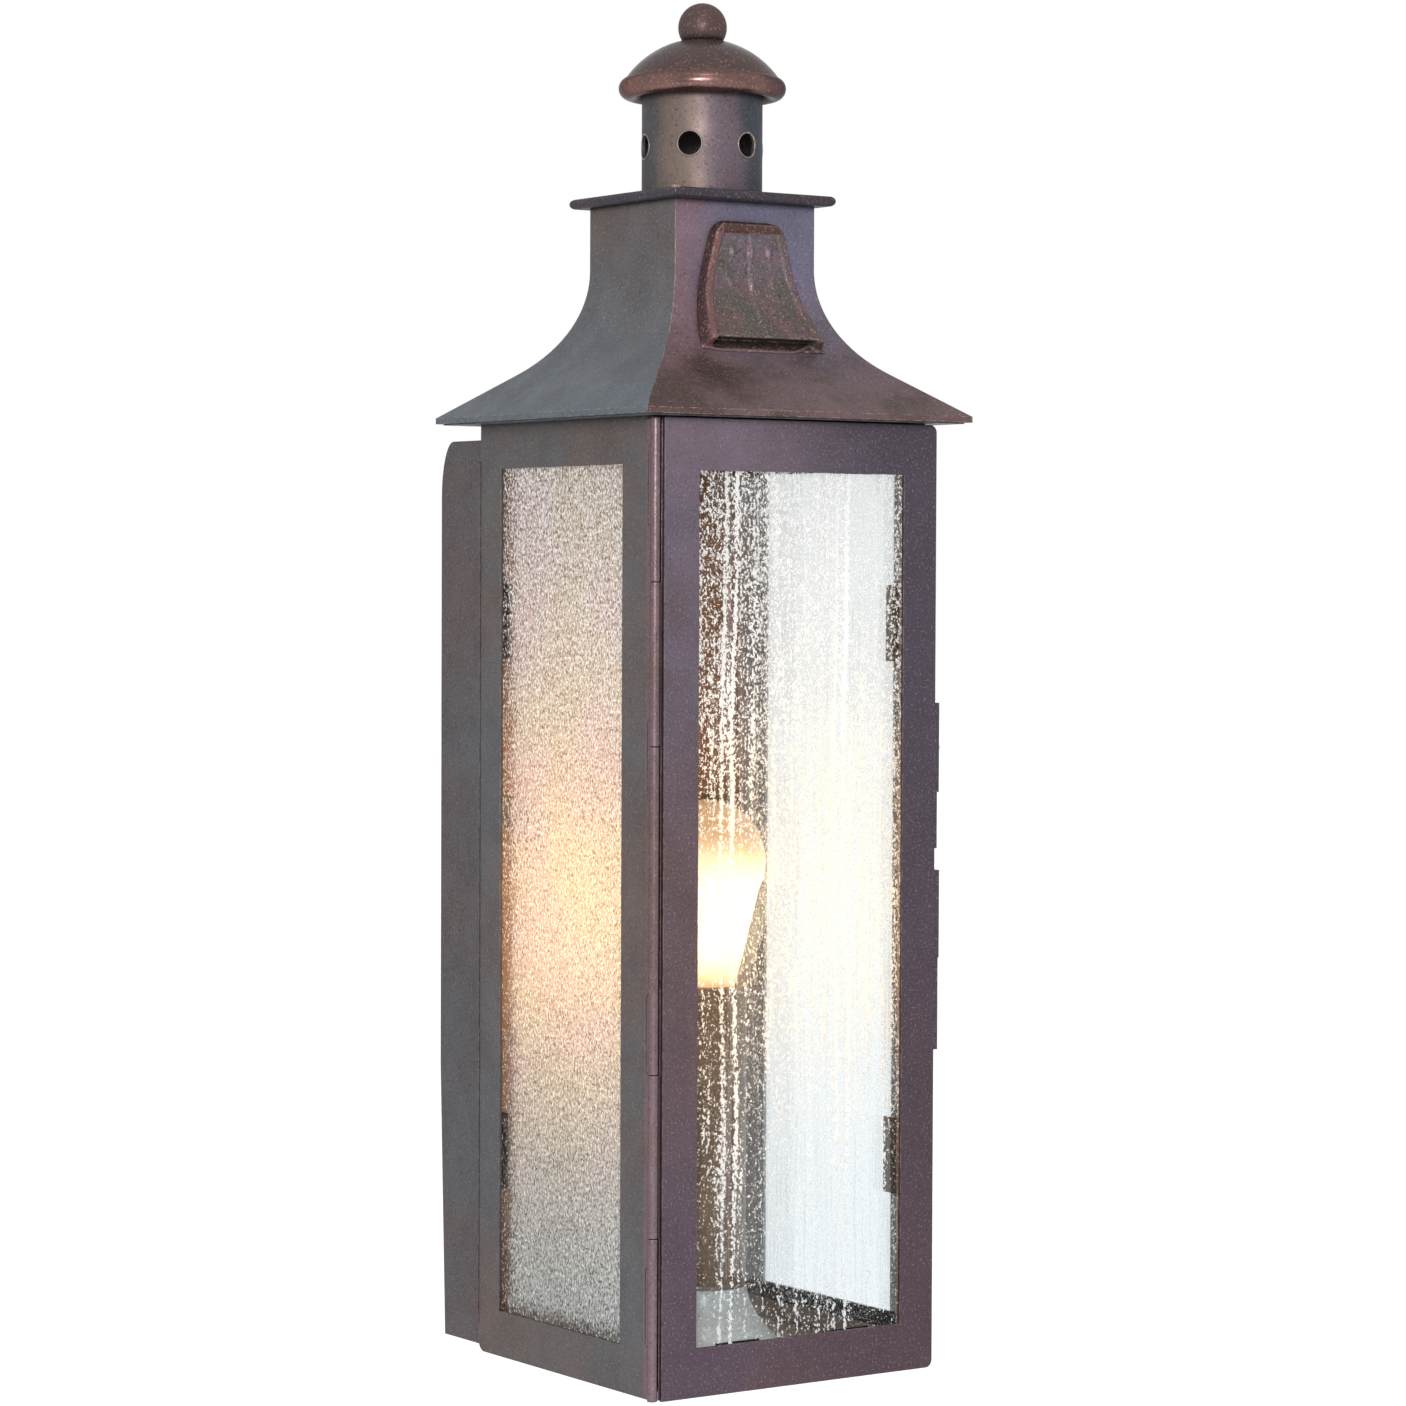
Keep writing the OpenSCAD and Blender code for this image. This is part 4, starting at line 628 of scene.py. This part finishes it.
def tube(name, points, radius, finish, closed=True):
    """A round bead of that radius along the points. Closed, it runs back to the first one."""
    sides = 10
    made = bmesh.new()
    rings = []
    count = len(points)
    for k, place in enumerate(points):
        before = points[k - 1] if closed or k else place
        after = points[(k + 1) % count] if closed or k + 1 < count else place
        along = (after - before).normalized()
        # The helper direction is one that no bead runs along.
        aside = along.cross(Vector((0.31, 0.17, 0.93))).normalized()
        other = along.cross(aside)
        rings.append([made.verts.new(place + radius * (aside * math.cos(t) + other * math.sin(t)))
                      for t in circle(sides)])
    for k in range(count if closed else count - 1):
        ring, after = rings[k], rings[(k + 1) % count]
        for m in range(sides):
            n = (m + 1) % sides
            made.faces.new((ring[m], ring[n], after[n], after[m]))
    if not closed:
        made.faces.new(rings[0])
        made.faces.new(rings[-1])
    solid(name, made, finish)


def roof_front():
    """A function that gives the roof's front surface: its y at an x and z."""
    mesh = NODES["roof_shell"].data
    tree = BVHTree.FromPolygons([v.co for v in mesh.vertices], [p.vertices for p in mesh.polygons])

    def front(x, z):
        return tree.ray_cast(Vector((x, -1, z)), Vector((0, 1, 0)))[0].y
    return front


def make_dormer(finish):
    """The blind dormer, pressed in one sheet: a soft rim, a face with three rows of small bars and
    an undercut ledge. It takes the place of the plain plate."""
    rows, columns = 110, 96
    low, high, half_top, half_foot, rim = dormer_size()
    tall = high.z - low.z
    corner = 6 * MM
    roof = roof_front()

    def half_width(z):
        """Half the outline's width at that height, with its upper corners rounded off."""
        wide = half_foot + (half_top - half_foot) * (z - low.z) / tall
        over = max(0.0, z - (high.z - corner))
        return wide - corner + math.sqrt(max(0.0, corner * corner - over * over))

    def bars(x, z):
        """How far the small bars raise the face: less, and further apart, in each lower row."""
        bar_wide, bar_tall, aside = 1.0 * MM, 2.3 * MM, 0.5 * MM
        raised = 0.0
        for row in range(3):
            apart = (8.4 + 1.2 * row) * MM
            above = (z - low.z - tall * (0.76 - 0.23 * row)) / bar_tall
            for place in (-1, 0, 1):
                beside = (x - place * apart - aside) / bar_wide
                raised += (1.1 - 0.25 * row) * MM * math.exp(-beside ** 4 - above ** 4)
        return raised

    def stand_off(x, z, half):
        """How far the sheet stands off the roof."""
        side = half - abs(x)
        inside = min(side, high.z - z)
        sunk = (0.38 if x < 0 else 0.18) * smooth(inside, rim - 1.2 * MM, rim)
        crown = smooth(inside, 0, 1.3 * MM) * (1 - sunk)
        lean = (1 - smooth(z, low.z, low.z + 0.62 * tall)) * smooth(inside, 0, 2 * MM)
        face = bars(x, z) if inside > rim else 0.0
        # The foot ends in a steep step between the rims, and in a slope below them.
        slot = smooth(z, low.z + 3.9 * MM, low.z + 4.9 * MM)
        foot = smooth(z, low.z + 0.4 * MM, low.z + 5 * MM)
        ledge = foot + (slot - foot) * smooth(side, rim - 1.2 * MM, rim + 0.6 * MM)
        return 0.4 * MM + (3.4 * MM * crown + 4.0 * MM * lean + face) * ledge

    # Rows and columns stand closer towards the outline.
    made = bmesh.new()
    front, back = [], []
    for i in range(rows + 1):
        z = high.z - tall * (0.5 - 0.5 * math.cos(math.pi * i / rows))
        half = half_width(min(z, high.z - 0.02 * MM))
        front.append([])
        back.append([])
        for j in range(columns + 1):
            share = 2 * j / columns - 1
            x = half * (0.35 * math.sin(0.5 * math.pi * share) + 0.65 * share)
            y = roof(x, z)
            front[-1].append(made.verts.new((x, y - stand_off(x, z, half), z)))
            back[-1].append(made.verts.new((x, y + 0.2 * MM, z)))
    for i in range(rows):
        for j in range(columns):
            made.faces.new((front[i][j], front[i][j + 1], front[i + 1][j + 1], front[i + 1][j]))
            made.faces.new((back[i][j], back[i + 1][j], back[i + 1][j + 1], back[i][j + 1]))
    around = [(0, j) for j in range(columns)] + [(i, columns) for i in range(rows)]
    around += [(rows, j) for j in range(columns, 0, -1)] + [(i, 0) for i in range(rows, 0, -1)]
    for k, (i, j) in enumerate(around):
        m, n = around[(k + 1) % len(around)]
        made.faces.new((front[i][j], back[i][j], back[m][n], front[m][n]))
    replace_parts(solid("dormer_relief", made, finish), "dormer_plate")


def make_fold():
    """The fold below the dormer's ledge, that rises at both ends."""
    low, _, _, half, _ = dormer_size()
    roof = roof_front()
    bead = 0.7 * MM
    points = []
    last = 36
    for k in range(last + 1):
        x = half * (2 * k / last - 1)
        right = 4.2 * MM * smooth(x, 0.4 * half, half)
        left = 1.2 * MM * smooth(-x, 0.7 * half, half)
        z = low.z + right + left - 0.4 * MM
        points.append(Vector((x, roof(x, z) - 0.1 * MM, z)))
    finish = worn_edge("fold_paint", (112, 88, 92), (150, 128, 132))
    tube("dormer_fold", points, bead, finish, closed=False)


def make_cup():
    """The pale bell under the candle sleeve, whose near-white paint is partly a painted patch of
    light on the floor. It takes the place of the plain cup.
    """
    tall, flare, lip = 26 * MM, 15 * MM, 2 * MM
    low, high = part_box("sleeve_cup")
    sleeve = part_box("candle_sleeve")[1].x
    top = low.z + tall
    outer = []
    for share in (k / 12 for k in range(13)):
        outer.append((sleeve + 0.4 * MM + flare * (1 - share) ** 1.7,
                      low.z + lip + (tall - lip) * share))
    inner = sleeve - 0.3 * MM
    profile = [(outer[0][0] + 0.4 * MM, low.z)] + outer + [(inner, top), (inner, low.z)]
    # Partly painted light: near-white, for the patch of light at the sleeve's foot.
    finish = bronze("cup_paint", (215, 222, 224), (205, 204, 198), metal=0.1, roughness=0.3)
    cup = solid("lamp_cup", turned(profile, (low + high) / 2), finish)
    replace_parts(cup, "sleeve_cup")


def make_solder():
    """The lump of solder on the top plate's front left corner."""
    low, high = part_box("roof_top_plate")
    place = Vector((low.x + 1.4 * MM, low.y + 1.6 * MM, high.z - 0.2 * MM))
    size = (1.9 * MM, 1.3 * MM, 1.1 * MM)
    made = bmesh.new()
    bmesh.ops.create_icosphere(made, subdivisions=3, radius=1)
    for vert in made.verts:
        ripple = 1 + 0.12 * math.sin(5 * vert.co.x + 2) * math.cos(4 * vert.co.y + vert.co.z)
        vert.co = place + Vector([ripple * c * s for c, s in zip(vert.co, size)])
    solid("corner_solder", made, plain_metal("solder", (150, 132, 118), 0.35, 0.8))


def make_vent_rims():
    """The worn rims of the vent holes."""
    low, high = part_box("vent_stack")
    radius, middle = (high.x - low.x) / 2, (low.y + high.y) / 2
    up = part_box("roof_top_plate")[1].z + VENT_UP
    finish = worn_edge("rim_paint", (128, 118, 112), (196, 186, 176))
    bead = 0.35 * MM
    for number, centre in enumerate(circle(VENTS)):
        ring = []
        for turn in circle(32):
            angle = VENT_TURN + centre + math.asin(VENT_R * math.cos(turn) / radius)
            ring.append(Vector((radius * math.cos(angle), middle + radius * math.sin(angle),
                                up + VENT_R * math.sin(turn))))
        tube(f"vent_rim_{number + 1}", ring, bead, finish)


def make_hinge_tabs():
    """The outlines of the hinge's tabs, that are folded through slots in the left panel."""
    proud, inward = 0.9 * MM, 5.5 * MM
    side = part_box("left_side_panel")[0].x - proud
    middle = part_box("hinge_body_leaf")[0].y + inward
    finish = worn_edge("tab_paint", (66, 60, 64), (120, 110, 112))
    bead = 0.2 * MM
    for number, top in enumerate(TAB_TOPS):
        outline = []
        for turn in circle(24, 0.5):
            end = top - TAB_HALF if turn < math.pi else top - TAB_TALL + TAB_HALF
            outline.append(Vector((side, middle + TAB_HALF * math.cos(turn),
                                   end + TAB_HALF * math.sin(turn))))
        tube(f"hinge_tab_{number + 1}", outline, bead, finish)


def corners(low, high, z, radius, steps=6):
    """Points around a box at height z, with rounded corners. Its left side has x below 0."""
    points = []
    sharp = ((high.x, high.y), (low.x, high.y), (low.x, low.y), (high.x, low.y))
    for quarter, (x, y) in enumerate(sharp):
        middle_x = x - radius if x > 0 else x + radius
        middle_y = y - radius if quarter < 2 else y + radius
        for k in range(steps + 1):
            angle = math.pi / 2 * (quarter + k / steps)
            points.append(Vector((middle_x + radius * math.cos(angle),
                                  middle_y + radius * math.sin(angle), z)))
    return points


def make_hem():
    """The eave's folded hem, worn through in flecks."""
    bead, corner = 0.65 * MM, 1.2 * MM
    low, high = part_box("roof_shell")
    inset = Vector((bead, bead, 0))
    outline = corners(low + inset, high - inset, low.z + bead, corner)
    finish = worn_edge("hem_paint", (92, 86, 88), (206, 196, 188))
    tube("eave_hem", outline, bead, finish)


# ---------------------------------------------------------------- stage and light
def make_stage():
    """White paper below the lantern. Its glow is only seen, and lights nothing."""
    made = bmesh.new()
    bmesh.ops.create_grid(made, x_segments=1, y_segments=1, size=FLOOR_HALF)
    mesh = bpy.data.meshes.new("floor")
    made.to_mesh(mesh)
    made.free()
    floor = bpy.data.objects.new("floor", mesh)
    floor.location = (0, 0, cad_box[0][2] - FLOOR_DROP)
    bpy.context.scene.collection.objects.link(floor)
    g = Graph("floor_paper")
    seen = g.rays("Is Camera Ray", "Is Transmission Ray", "Is Glossy Ray")
    mesh.materials.append(g.ended(g.principled(
        Base_Color=(0.9, 0.9, 0.9, 1), Roughness=0.9, Emission_Color=(1, 1, 1, 1),
        Emission_Strength=g.math("MULTIPLY", seen, PAPER_GLOW))))


def make_world():
    """White where it is seen, also through glass and in gloss, and dimmer as a light."""
    g = Graph("studio", "World")
    room = g.node("ShaderNodeBackground", {"Color": (0.97, 0.985, 1.0, 1), "Strength": ROOM_LIGHT})
    white = g.node("ShaderNodeBackground", {"Color": (1, 1, 1, 1), "Strength": 1.0})
    seen = g.rays("Is Camera Ray", "Is Transmission Ray", "Is Glossy Ray")
    bpy.context.scene.world = g.ended(g.blend(seen, room, white))


def make_light(name, kind, place, power, colour, **settings):
    """A light that looks at the lantern."""
    data = bpy.data.lights.new(name, kind)
    data.energy = power
    data.color = colour
    for key, value in settings.items():
        setattr(data, key, value)
    light = bpy.data.objects.new(name, data)
    light.location = place
    light.rotation_euler = (LOOK_AT - Vector(place)).to_track_quat("-Z", "Y").to_euler()
    bpy.context.scene.collection.objects.link(light)


def make_lights():
    """A broad key from the left, a small one from above, and the bulb's filament."""
    low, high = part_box("bulb_glass")
    make_light("key", "AREA", (-1.10, -1.55, 0.50), power=20, colour=(1.0, 0.97, 0.97),
               shape="DISK", size=0.55)
    make_light("top", "AREA", (-0.35, -0.75, 1.30), power=1.6, colour=(1, 1, 1),
               shape="DISK", size=0.12)
    make_light("filament", "POINT", (low + high) / 2, power=0.42, colour=(1.0, 0.62, 0.24),
               shadow_soft_size=12 * MM)


# ---------------------------------------------------------------- the scene
make_camera()
make_stage()
make_world()
make_lights()
bpy.context.scene.view_settings.view_transform = "Standard"
finishes = make_finishes()
dress_nodes(finishes)
make_dormer(finishes["dormer_bronze"])
make_cup()
make_solder()
make_vent_rims()
make_hinge_tabs()
make_hem()
make_fold()
